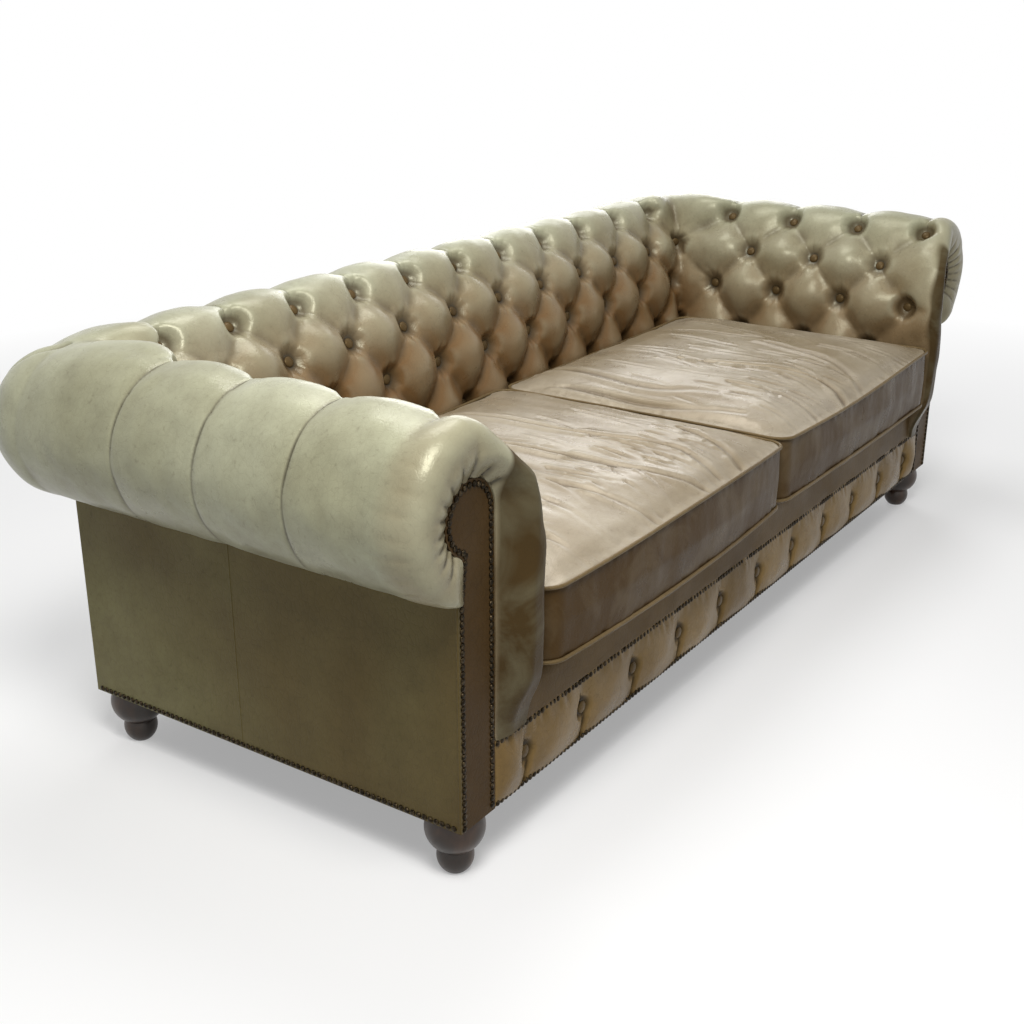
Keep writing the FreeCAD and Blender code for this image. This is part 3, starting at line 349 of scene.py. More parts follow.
class Lines:
    """Creases drawn on a surface: each is (points, depth at its start, depth at its end, width)."""

    def __init__(self, points, lines):
        targets, depths, widths, runs = [], [], [], []
        for line, first, last, width in lines:
            for a, b in zip(line, line[1:]):
                steps = max(1, int((b - a).length / 0.002))
                for step in range(steps):
                    targets.append(a.lerp(b, step / steps))
                    runs.append((b - a).normalized())
            total = len(targets) - len(depths)
            depths += list(np.linspace(first, last, total))
            widths += [width] * total
        self.distance, index = nearest(points, targets)
        self.depth = np.array(depths)[index]
        self.width = np.array(widths)[index]
        self.target = np.array([tuple(target) for target in targets])[index]
        self.run = np.array([tuple(run) for run in runs])[index]


# Rolled and buttoned upholstery of arms and back

def head_gathers(place):
    """Short pleats that radiate from the round head of a facing."""
    lines = []
    for degrees, reach in ((38, 0.03), (64, 0.05), (92, 0.075), (112, 0.04), (133, 0.085), (150, 0.035),
                           (164, 0.06), (179, 0.035), (192, 0.07), (207, 0.045), (224, 0.08)):
        turn = math.radians(degrees)
        across, up = math.cos(turn), math.sin(turn)
        face = [place(along, HEAD_INSET + radius * across, HEAD_HEIGHT + radius * up)
                for along, radius in ((-0.004, 0.061), (-0.014, 0.074), (-0.018, 0.090), (-0.014, 0.105))]
        for along, radius in ((0.0, 0.122), (0.018, 0.134), (reach, 0.138)):
            face.append(place(along, ROLL_INSET + radius * across, ROLL_HEIGHT + radius * up))
        lines.append((face, *GATHER))
    return lines


def facing_reach(inset, height):
    """Distance outside the facing's outline, and the direction away from it."""
    to_head = np.hypot(inset - HEAD_INSET, height - HEAD_HEIGHT)
    head = to_head - HEAD_RADIUS
    edge = np.where(height < 0.500, 0.0, 0.0105)
    across = np.where(inset > HEAD_INSET + HEAD_RADIUS, inset - HEAD_INSET - HEAD_RADIUS,
                      np.minimum(inset - edge, 0))
    board = np.where(height < HEAD_HEIGHT, np.abs(across), 9.0)
    use_head = head < board
    away_inset = np.where(use_head, (inset - HEAD_INSET) / np.maximum(to_head, 1e-6), np.sign(across))
    away_height = np.where(use_head, (height - HEAD_HEIGHT) / np.maximum(to_head, 1e-6), 0.0)
    return np.maximum(np.where(use_head, head, board), 0), away_inset, away_height


def round_front_ends(points):
    """The leather turns softly from the roll onto the front and dips to the facing's nails."""
    for side in (-1, 1):
        along = points[:, 1] - FRONT
        inset = HALF - side * points[:, 0]
        height = points[:, 2]
        reach, away_inset, away_height = facing_reach(inset, height)
        near = (along < FRONT_TURN) & (inset < 0.22) & (side * points[:, 0] > 0)
        t = np.clip((FRONT_TURN - along) / (FRONT_TURN + 0.020), 0, 1)
        on_roll = smooth_step(height, 0.46, 0.60)
        draw = (0.12 + 0.20 * on_roll) * (1 - np.sqrt(np.maximum(0, 1 - t * t)))
        shift = np.where(near, reach * draw, 0)
        points[:, 0] += side * shift * away_inset
        points[:, 2] -= shift * away_height
        reach = reach * (1 - np.where(near, draw, 0))
        proud = 0.003 + 0.016 * np.sin(np.clip(reach / 0.040, 0, 1) * math.pi / 2)
        proud *= 0.2 + 0.8 * smooth_step(height, 0.235, 0.40)
        held_back = np.maximum(points[:, 1], FRONT - proud)
        points[:, 1] = np.where(near & (along < -0.001), held_back, points[:, 1])

        # the strip between the facing and the cushion swells forward
        inner = (side * points[:, 0] > 0) & (away_inset > 0) & (inset < 0.30)
        swell = smooth_step(reach, 0.0, 0.040) * (1 - smooth_step(along, 0.0, 0.13))
        swell *= np.where(inner, np.clip(away_inset, 0, 1), 0)
        swell *= 0.25 + 0.75 * smooth_step(height, 0.24, 0.34)
        points[:, 1] -= FRONT_SWELL * swell
        points[:, 0] -= side * INWARD_SWELL * swell * smooth_step(height, 0.48, 0.56)


def upholstery():
    """Arms, back and corners as one quilted skin."""
    names = ["back_pad", "left_arm_pad", "right_arm_pad", "left_roll_corner", "right_roll_corner"]
    piece = copy_of(names, "buttoned_upholstery")
    remesh(piece, SKIN_VOXEL)
    skin = Skin(piece)
    sharp_edge = (np.abs(skin.points[:, 1] - FRONT) < 0.03) | (skin.points[:, 1] > BACK - 0.012)
    tufted = smooth_step(HALF - np.abs(skin.points[:, 0]), 0.0, 0.04)
    tufted *= smooth_step(BACK - skin.points[:, 1], 0.0, 0.04)
    tufted *= smooth_step(skin.points[:, 1] - FRONT, 0.03, 0.09)
    soft = skin.blur(skin.points, 9)
    soft += (skin.blur(soft, 30) - soft) * tufted[:, None]
    skin.points = np.where(sharp_edge[:, None], skin.blur(skin.points, 2), soft)
    round_front_ends(skin.points)
    skin.points = skin.blur(skin.points, 2)
    skin.refresh_normals()
    skin.soften_normals(14)

    # the roll round each back corner: two soft channels either side of a crease
    for side in (-1, 1):
        offset = skin.points - np.array((side * (HALF - ROLL_INSET), BACK - ROLL_INSET, ROLL_HEIGHT))
        out_x, out_y = side * offset[:, 0], offset[:, 1]
        inside = (out_x > 0) & (out_y > 0)
        turn = np.arctan2(np.maximum(out_y, 0), np.maximum(out_x, 1e-6))
        level = np.hypot(out_x, out_y) / ROLL_RADIUS
        puff = np.abs(np.sin(2 * turn)) ** 0.8 * 0.010 * smooth_step(level, 0.1, 0.8)
        crease = -0.010 * np.exp(-(np.abs(turn - math.pi / 4) * level * ROLL_RADIUS / 0.010) ** 2)
        skin.push(np.where(inside, puff + crease, 0))

    # no channel shows on the outside of the arms in front of their second pleat
    along = skin.points[:, 1] - FRONT
    inset = HALF - np.abs(skin.points[:, 0])
    outer = (1 - smooth_step(inset, -0.06, 0.01)) * smooth_step(skin.points[:, 2], 0.50, 0.56)
    skin.push(outer * 0.0030 * np.exp(-((along - ARM_COLUMNS[0]) / 0.028) ** 2))

    pleats, roll_pleats, gathers = [], [], []
    buttons = corner_buttons()
    for tufting in all_tufting:
        pleats += [(line, *PLEAT) for line in tufting.pleats]
        roll_pleats += [(line, *ROLL_PLEAT) for line in tufting.roll_pleats]
        buttons += tufting.buttons
    for place in (on_left_arm, on_right_arm):
        gathers += head_gathers(place)

    lines = Lines(skin.points, pleats + roll_pleats + gathers)
    snap = lines.distance < 0.0022
    sideways = lines.target - skin.points
    sideways -= skin.normals * np.sum(sideways * skin.normals, axis=1)[:, None]
    skin.points[snap] += sideways[snap]
    spots = [spot for spot, facing in buttons]
    reach, nearest_button = nearest(skin.points, spots)
    on_rolls = skin.points[:, 2] > 0.745
    held = 0.14 + 0.86 * np.exp(-(reach / 0.050) ** 2)
    held = np.where(on_rolls | (lines.width < WIDE_PLEAT), 1.0, held)
    valley = np.maximum(0, 1 - lines.distance / (lines.width * 1.6)) ** 1.7
    # Painted shade along each pleat line, darkest on the line itself.
    crease_shade = np.exp(-(lines.distance / 0.0030) ** 2) * np.clip(lines.depth / 0.005, 0.35, 1) * held
    push = -lines.depth * valley * held

    # the funnel round each button, and the wrinkles that run out of it
    push += 0.0015 * np.exp(-((reach - 0.038) / 0.014) ** 2)
    # Painted shade in the pit round each button.
    pit = 1 - smooth_step(reach, 0.009, 0.024)
    axes = []
    for spot, facing in buttons:
        across = facing.cross(Vector((0, 0, 1))).normalized()
        axes.append((tuple(spot), tuple(across), tuple(facing.cross(across).normalized())))
    origin, first, second = [np.array([axis[k] for axis in axes])[nearest_button] for k in range(3)]
    offset = skin.points - origin
    angle = np.arctan2(np.sum(offset * second, axis=1), np.sum(offset * first, axis=1))
    lobes = 9 + nearest_button % 4
    phase = nearest_button * 2.39
    waver = lumps(skin.points, 28, 3)
    wave = np.cos(angle * lobes + phase + waver * 2.2)
    ring = smooth_step(reach, 0.010, 0.022) * (1 - smooth_step(reach, 0.026, 0.062))
    ruffled = smooth_step(-waver, -1.2, 0.6)
    sharp = np.maximum(0, -wave) ** 3
    upward = 0.2 + 0.8 * np.sin(angle) ** 2
    push += ring * (0.0003 * wave - 0.0017 * sharp) * (0.5 + ruffled) * upward
    # The sharp wrinkles out of each button get painted shade along them too.
    crease_shade = np.maximum(crease_shade, ring * sharp * 0.5 * upward)

    # hand-stuffed unevenness
    push += 0.0024 * lumps(skin.points, 11, 1) + 0.0013 * lumps(skin.points, 27, 2)
    skin.push(push)
    facing = np.array([tuple(facing) for spot, facing in buttons])[nearest_button]
    offset = skin.points - origin
    height = np.sum(offset * facing, axis=1)
    level = np.linalg.norm(offset - facing * height[:, None], axis=1)
    close = (reach < 0.060) & (np.abs(height) < 0.040)
    sunk = np.where(close, 1 - smooth_step(level, 0.0070, 0.0440), 0) ** 1.5
    skin.points -= facing * ((height + FUNNEL_SINK) * sunk)[:, None]
    skin.points = skin.blur(skin.points, 1, 0.3)
    skin.write()

    # The relief paints shade into the hollows and highlight onto the crowns.
    relief = skin.relief(70)
    skin.store("crease_shade", crease_shade)
    skin.store("pit", pit)
    # Painted shade on the strip in front of each arm, where it faces forward.
    strip = strip_share(skin.points) * smooth_step(-skin.normals[:, 1], 0.10, 0.60)
    # Painted shade low on the outside, under each roll.
    outside = (1 - tufted) * (1 - smooth_step(skin.points[:, 2], 0.50, 0.63))
    skin.store("relief", 0.5 + relief * (1 - strip) / 0.014 - 0.22 * outside)
    skin.store("inner", inner_share(skin.points))
    skin.store("side", strip)
    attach(piece, "sofa")
    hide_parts(*names)
    return piece, buttons


def inner_share(points):
    """0 on the outside of the rolls, 1 low on the faces that look into the seat."""
    from_side = HALF - np.abs(points[:, 0])
    from_back = BACK - points[:, 1]
    inset = np.minimum(from_side, from_back)
    low = 1 - smooth_step(points[:, 2], 0.48, 0.76)
    ends = 0.35 * (1 - smooth_step(points[:, 1] - FRONT, 0.01, 0.09))
    on_back = smooth_step(from_side - from_back, -0.10, 0.10)
    share = (0.46 + 0.54 * low) * (0.66 + 0.34 * on_back)
    return np.maximum(smooth_step(inset, -0.02, 0.13) * share, ends)


def strip_share(points):
    """1 on the strip in front of each arm between its facing and the cushion."""
    inset = HALF - np.abs(points[:, 0])
    strip = smooth_step(inset, 0.085, 0.105) * (1 - smooth_step(points[:, 1] - FRONT, 0.02, 0.10))
    return strip * (1 - smooth_step(points[:, 2], 0.70, 0.77))


sofa_skin, button_places = upholstery()


# Covered buttons and nails

def sheet_of(name):
    """An empty mesh object ready for repeated shapes."""
    mesh = bpy.data.meshes.new(name)
    piece = bpy.data.objects.new(name, mesh)
    bpy.context.scene.collection.objects.link(piece)
    return piece


def place_copies(name, pattern, places):
    """One piece from a pattern repeated at (spot, facing, size) places."""
    work = bmesh.new()
    for spot, facing, size in places:
        turn = Vector(facing).to_track_quat("Z", "Y").to_matrix().to_4x4()
        before = len(work.verts)
        work.from_mesh(pattern.data)
        work.verts.ensure_lookup_table()
        fresh = work.verts[before:]
        bmesh.ops.transform(work, matrix=Matrix.Translation(Vector(spot)) @ turn @ Matrix.Scale(size, 4),
                            verts=fresh)
    piece = sheet_of(name)
    work.to_mesh(piece.data)
    work.free()
    select_only(piece)
    bpy.ops.object.shade_smooth()
    return piece


def covered_button():
    """A leather button: a dome that turns in at its rim, with a shallower dome below."""
    bpy.ops.mesh.primitive_uv_sphere_add(segments=20, ring_count=12, radius=1)
    pattern = bpy.context.object
    for vert in pattern.data.vertices:
        x, y, z = vert.co
        flat = math.hypot(x, y)
        vert.co.z = z * (0.42 if z > 0 else 0.30)
        vert.co.x, vert.co.y = x * (1 + 0.04 * flat), y * (1 + 0.04 * flat)
    return pattern


def nail_head():
    """A low domed nail of a few dozen faces."""
    bpy.ops.mesh.primitive_uv_sphere_add(segments=8, ring_count=6, radius=1)
    pattern = bpy.context.object
    for vert in pattern.data.vertices:
        vert.co.z *= 0.55 if vert.co.z > 0 else 0.2
    return pattern


def discard(piece):
    bpy.data.objects.remove(piece, do_unlink=True)


def belong(pieces, body):
    for piece in pieces:
        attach(piece, body)


def buttons():
    pattern = covered_button()
    groups = {"back_buttons": [], "left_arm_buttons": [], "right_arm_buttons": []}
    for spot, facing in button_places:
        if spot.y > BACK - 0.15:
            word = "back_buttons"
        else:
            word = "left_arm_buttons" if spot.x < 0 else "right_arm_buttons"
        groups[word].append((spot - facing * BUTTON_SINK, facing, BUTTON_RADIUS))
    made = []
    for name, places in groups.items():
        piece = place_copies("covered_" + name, pattern, places)
        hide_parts(name)
        made.append(piece)
    places = [((along, BORDER_FACE - 0.0010, MIDDLE_OF_BORDER), (0, -1, 0), BUTTON_RADIUS)
              for along in BORDER_COLUMNS]
    piece = place_copies("covered_border_buttons", pattern, places)
    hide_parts("border_buttons")
    made.append(piece)
    belong(made, "sofa")
    discard(pattern)
    return made


button_pieces = buttons()


def facing_line(edge):
    """Outline of a facing as (inset, height) points, drawn in from its edge; round its head."""
    neck = HEAD_INSET - math.sqrt(HEAD_RADIUS ** 2 - NECK_DROP ** 2) + edge
    foot = UNDERSIDE + 0.006
    points = [(edge, foot), (edge, HEAD_HEIGHT - SHOULDER_DROP), (neck, HEAD_HEIGHT - NECK_DROP)]
    start = math.atan2(-NECK_DROP, neck - HEAD_INSET) + 2 * math.pi
    radius = HEAD_RADIUS - edge
    for step in range(25):
        turn = start * (1 - step / 24)
        points.append((HEAD_INSET + radius * math.cos(turn), HEAD_HEIGHT + radius * math.sin(turn)))
    points.append((HEAD_INSET + radius, foot))
    return points


def spaced(points, pitch):
    """Even steps along a chain of points."""
    found = [points[0]]
    carried = 0.0
    for a, b in zip(points, points[1:]):
        length = math.dist(a, b)
        place = pitch - carried
        while place <= length:
            share = place / length
            found.append(tuple(p + (q - p) * share for p, q in zip(a, b)))
            place += pitch
        carried = length - (place - pitch)
    return found


def nails():
    pattern = nail_head()
    made = []
    for word, side in SIDES:
        places = []
        for inset, height in spaced(facing_line(0.0085), NAIL_PITCH):
            places.append(((side * (HALF - inset), FRONT - 0.0004, height), (0, -1, 0), NAIL_RADIUS))
        made.append(place_copies(word + "_facing_nails", pattern, places))
    inner = HALF - HEAD_INSET - HEAD_RADIUS - 0.006
    low = NAIL_HEIGHT
    steps = int(2 * inner / NAIL_PITCH)
    across = [-inner + 2 * inner * i / steps for i in range(steps + 1)]
    for word, height in (("top", BORDER_TOP - 0.007), ("bottom", low)):
        places = [((x, FRONT - 0.0008, height), (0, -1, 0), NAIL_RADIUS) for x in across]
        made.append(place_copies("border_%s_nails" % word, pattern, places))
    depth = BACK - FRONT
    steps = int((depth - 0.02) / NAIL_PITCH)
    for word, side in SIDES:
        places = [((side * (HALF + 0.0004), FRONT + 0.014 + (depth - 0.028) * i / steps, low), (side, 0, 0),
                   NAIL_RADIUS) for i in range(steps + 1)]
        made.append(place_copies(word + "_side_nails", pattern, places))
    steps = int((2 * HALF - 0.02) / NAIL_PITCH)
    places = [((-HALF + 0.014 + (2 * HALF - 0.028) * i / steps, BACK + 0.0004, low), (0, 1, 0), NAIL_RADIUS)
              for i in range(steps + 1)]
    made.append(place_copies("back_nails", pattern, places))
    belong(made, "sofa")
    discard(pattern)
    return made


nail_pieces = nails()


# Seat

def cushion_outline(left, right, front, back, draw=0.009, corner=0.038):
    """Outline of a cushion seen from above, its sides drawn in between its corners."""
    points = []
    sides = [((left + corner, front), (right - corner, front), (0, 1)),
             ((right, front + corner), (right, back - corner), (-1, 0)),
             ((right - corner, back), (left + corner, back), (0, -1)),
             ((left, back - corner), (left, front + corner), (1, 0))]
    centres = [(right - corner, front + corner, -90), (right - corner, back - corner, 0),
               (left + corner, back - corner, 90), (left + corner, front + corner, 180)]
    for (start, end, pull), (cx, cy, degrees) in zip(sides, centres):
        for step in range(30):
            t = step / 30
            bow = 4 * t * (1 - t) * draw
            points.append((start[0] + (end[0] - start[0]) * t + pull[0] * bow,
                           start[1] + (end[1] - start[1]) * t + pull[1] * bow))
        for step in range(10):
            turn = math.radians(degrees + 90 * step / 10)
            points.append((cx + corner * math.cos(turn), cy + corner * math.sin(turn)))
    return points


def welt(name, points, radius, closed=True):
    """A piped seam along a chain of points."""
    curve = bpy.data.curves.new(name, "CURVE")
    curve.dimensions = "3D"
    curve.bevel_depth = radius
    curve.bevel_resolution = 3
    spline = curve.splines.new("POLY")
    spline.points.add(len(points) - 1)
    for point, place in zip(spline.points, points):
        point.co = (*place, 1)
    spline.use_cyclic_u = closed
    curve.use_fill_caps = not closed
    piece = bpy.data.objects.new(name, curve)
    bpy.context.scene.collection.objects.link(piece)
    select_only(piece)
    bpy.ops.object.convert(target="MESH")
    bpy.ops.object.shade_smooth()
    return bpy.context.object


# How far a cushion's front seam waves, its top rises and its front bows, then its long folds as
# (path, depth, width) and its short ones as (count, x from, x to, y from, y to, depth)
SAG = 0.005
CROWN = 0.022
BOWS = {"left": 0.030, "right": 0.015}
FOLDS = {
    "left": [
        ([(-0.315, -0.04), (-0.305, -0.18), (-0.285, -0.28), (-0.26, -0.35), (-0.265, -0.41),
          (-0.295, -0.47)], 0.0075, 0.0085),
        ([(-0.445, -0.14), (-0.435, -0.28), (-0.435, -0.35), (-0.42, -0.40), (-0.395, -0.46)],
         0.0080, 0.0080),
        ([(-0.55, -0.05), (-0.53, -0.15), (-0.54, -0.29)], 0.0045, 0.0090),
        ([(-0.14, -0.34), (-0.165, -0.43), (-0.21, -0.50)], 0.0060, 0.0080),
        ([(-0.52, -0.27), (-0.51, -0.39)], 0.0050, 0.0065),
        ([(-0.575, -0.33), (-0.566, -0.44)], 0.0045, 0.0060),
    ],
    "right": [
        ([(0.33, -0.10), (0.36, -0.24), (0.39, -0.32), (0.395, -0.40), (0.37, -0.46), (0.335, -0.50)],
         0.0085, 0.0085),
        ([(0.585, -0.20), (0.535, -0.38), (0.45, -0.49)], 0.0040, 0.0080),
        ([(0.12, 0.02), (0.10, -0.12), (0.13, -0.25)], 0.0040, 0.0090),
        ([(0.045, -0.02), (0.040, -0.20), (0.060, -0.33)], 0.0040, 0.0070),
        ([(0.21, -0.30), (0.22, -0.40), (0.19, -0.48)], 0.0045, 0.0065),
    ],
}
SHORT_FOLDS = {
    "left": [(34, -0.80, -0.12, -0.42, -0.30, 0.0034), (22, -0.86, -0.06, -0.30, -0.05, 0.0022)],
    "right": [(20, 0.06, 0.80, -0.44, -0.32, 0.0026), (20, 0.05, 0.85, -0.30, 0.05, 0.0020)],
}


def smooth_path(path):
    """A chain of (x, y) points, rounded at its corners, at the level of the seat."""
    points = [np.array(point) for point in path]
    for step in range(2):
        rounded = [points[0]]
        for a, b in zip(points, points[1:]):
            rounded += [a * 0.75 + b * 0.25, a * 0.25 + b * 0.75]
        points = rounded + [points[-1]]
    return [Vector((*point, SEAT_LEVEL)) for point in points]


def cushion(word):
    """A crowned seat cushion with creased top, boxed sides and piped seams."""

    def waved(share, forward):
        return SAG * np.sin(5.2 * share + seed) * forward

    def bowed(share, forward):
        return BOWS[word] * (1 - (2 * share - 1) ** 2) * forward

    node = word + "_seat_cushion"
    piece = copy_of([node], word + "_cushion")
    low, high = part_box(node)
    remesh(piece, CUSHION_VOXEL)
    skin = Skin(piece)
    skin.points = skin.blur(skin.points, 2)
    skin.refresh_normals()
    skin.soften_normals(6)
    top = smooth_step(skin.normals[:, 2], 0.25, 0.80)
    seed = 5 if word == "left" else 9
    width = high.x - low.x
    across = (skin.points[:, 0] - low.x) / width
    back_to_front = (skin.points[:, 1] - low.y) / (high.y - low.y)
    forward = smooth_step(-skin.points[:, 1], 0.20, 0.50)
    crown = (1 - np.abs(2 * across - 1) ** 4) * (1 - np.abs(2 * back_to_front - 1) ** 4)
    skin.points[:, 2] += CROWN * crown * smooth_step(skin.points[:, 2], TOP_SEAM, TOP_SEAM + 0.012)
    skin.points[:, 1] -= bowed(across, forward)

    # long soft folds where people sit, short ones towards the front edge
    draw = np.random.default_rng(seed)
    folds = [(smooth_path(path), depth, depth * 0.4, width) for path, depth, width in FOLDS[word]]
    for count, x_low, x_high, y_low, y_high, size in SHORT_FOLDS[word]:
        for step in range(count):
            x, y = draw.uniform(x_low, x_high), draw.uniform(y_low, y_high)
            length = draw.uniform(0.03, 0.075)
            lean = draw.uniform(-0.5, 0.25)
            path = [(x, y), (x + lean * length * 0.3, y - length * 0.5), (x + lean * length, y - length)]
            folds.append((smooth_path(path), size * draw.uniform(0.6, 1.2), 0.0004, 0.0050))
    flat = skin.points.copy()
    flat[:, 2] = SEAT_LEVEL
    lines = Lines(flat, folds)
    offset = flat - lines.target
    aside = offset[:, 0] * lines.run[:, 1] - offset[:, 1] * lines.run[:, 0]
    share = aside / lines.width
    valley = np.exp(-share ** 2)
    ridge = np.exp(-((share - 2.1) / 1.25) ** 2) + 0.5 * np.exp(-((share + 2.3) / 1.5) ** 2)
    push = top * lines.depth * (0.9 * ridge - 1.2 * valley)
    stretched = skin.points * np.array((1.0, 0.35, 0.6))
    push += top * (0.0009 * lumps(stretched, 26, seed) + 0.0042 * lumps(skin.points, 7, seed + 1))
    hair = np.maximum(0, lumps(stretched * np.array((1, 1.3, 1)), 85, seed + 2))
    push += top * 0.0005 * hair

    side = 1 - top
    upright = skin.points * np.array((1.0, 1.0, 0.45))
    push += side * (0.0024 * lumps(upright, 15, seed + 3) + 0.0004 * lumps(upright, 60, seed + 5))
    near_seam = np.minimum(np.abs(skin.points[:, 2] - TOP_SEAM), np.abs(skin.points[:, 2] - BOTTOM_SEAM))
    edge = np.exp(-(near_seam / 0.012) ** 2)
    pucker = lumps(skin.points * np.array((1.0, 1.0, 0.3)), 62, seed + 4)
    push += edge * 0.0016 * pucker
    skin.push(push)
    forward *= smooth_step(skin.points[:, 2], 0.40, TOP_SEAM)
    skin.points[:, 2] += waved(across, forward)
    skin.write()
    # Painted shade in the folds, in the hollows and on the boxing sides; painted highlight on the crowns.
    skin.store("crease_shade", top * valley * np.clip(lines.depth / 0.006, 0, 1) * 0.7)
    skin.store("relief", 0.5 + skin.relief(60) / 0.012)
    skin.store("side", side)
    welts = []
    for level, height, wavy in (("top", TOP_SEAM, 1), ("bottom", BOTTOM_SEAM, 0)):
        ring = []
        for x, y in cushion_outline(low.x, high.x, low.y, high.y):
            share = (x - low.x) / width
            forward = float(smooth_step(np.array(-y), 0.20, 0.50))
            ring.append((x, y - bowed(share, forward), height + wavy * waved(share, forward)))
        welts.append(welt("%s_cushion_%s_welt" % (word, level), ring, WELT_RADIUS))
    belong([piece] + welts, word + "_cushion")
    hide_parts(node)
    return piece, welts


cushions = [cushion("left"), cushion("right")]


def soft_copy(name, title, voxel, amount):
    """A padded piece close to its solid, with a little unevenness."""
    piece = copy_of([name], title)
    remesh(piece, voxel)
    skin = Skin(piece)
    skin.points = skin.blur(skin.points, 3)
    skin.refresh_normals()
    skin.push(amount * lumps(skin.points, 16, 4))
    skin.write()
    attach(piece, "sofa")
    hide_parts(name)
    return piece, skin


def border():
    """Border pad with a soft pleat under and over each button and gathers at its top nails."""
    piece, skin = soft_copy("front_border_pad", "border_padding", 0.003, 0.0006)
    lines = []
    middle, plane = MIDDLE_OF_BORDER, BORDER_FACE
    for along in BORDER_COLUMNS:
        down = [Vector((along + 0.010 * math.sin(t * 4.2) * (1 - 0.3 * t), plane, middle - t * 0.058))
                for t in np.linspace(0, 1, 16)]
        up = [Vector((along - 0.006 * t, plane, middle + t * 0.030)) for t in np.linspace(0, 1, 8)]
        lines.append((down, *BORDER_PLEAT))
        lines.append((up, *BORDER_TUCK))
    front = 1 - smooth_step(skin.points[:, 1], FRONT + 0.004, FRONT + 0.010)
    skin.refresh_normals()
    skin.soften_normals(6)
    flat = skin.points.copy()
    flat[:, 1] = plane
    drawn = Lines(flat, lines)
    valley = np.maximum(0, 1 - drawn.distance / (drawn.width * 1.6)) ** 1.6
    push = -drawn.depth * valley
    gather_height = smooth_step(skin.points[:, 2], 0.190, 0.222)
    gathers = lumps(skin.points * np.array((1, 0.4, 0.2)), 75, 6)
    push += gather_height * 0.0020 * gathers
    push += 0.0012 * lumps(skin.points, 30, 7)
    skin.push(push * front)
    spots = [Vector((along, plane, middle)) for along in BORDER_COLUMNS]
    level, index = nearest(flat, spots)
    sunk = (1 - smooth_step(level, 0.0105, 0.0270)) * front
    skin.points[:, 1] += (plane + 0.0045 - skin.points[:, 1]) * sunk
    skin.write()
    # Painted shade along the pleats, in the hollows and in the button pits; painted highlight on the
    # crowns.
    skin.store("crease_shade", np.exp(-(drawn.distance / 0.0028) ** 2) * front)
    skin.store("relief", 0.5 + skin.relief(60) / 0.010)
    skin.store("pit", sunk)
    return piece


border_piece = border()
lip_piece = soft_copy("deck_lip", "deck_lip_padding", 0.004, 0.0012)[0]
deck_piece = soft_copy("seat_deck_pad", "deck_padding", 0.012, 0.0015)[0]


def panel_welts():
    """Piping down the front edge of each outside panel, and the seam across its middle."""
    made = []
    for word, side in SIDES:
        x = side * (HALF + 0.0002)
        edge = [(x, FRONT + 0.0015, z) for z in np.linspace(UNDERSIDE + 0.003, 0.498, 30)]
        made.append(welt(word + "_panel_piping", edge, PIPING_RADIUS, closed=False))
        seam = [(x - side * 0.0006, FRONT + 0.47, z) for z in np.linspace(UNDERSIDE + 0.002, 0.499, 30)]
        made.append(welt(word + "_panel_seam", seam, SEAM_RADIUS, closed=False))
    belong(made, "sofa")
    return made


panel_pieces = panel_welts()


# Finishes

def tone(red, green, blue):
    """A colour from 0-255 values."""
    linear = []
    for value in (red, green, blue):
        share = value / 255
        linear.append(share / 12.92 if share <= 0.04045 else ((share + 0.055) / 1.055) ** 2.4)
    return (*linear, 1)


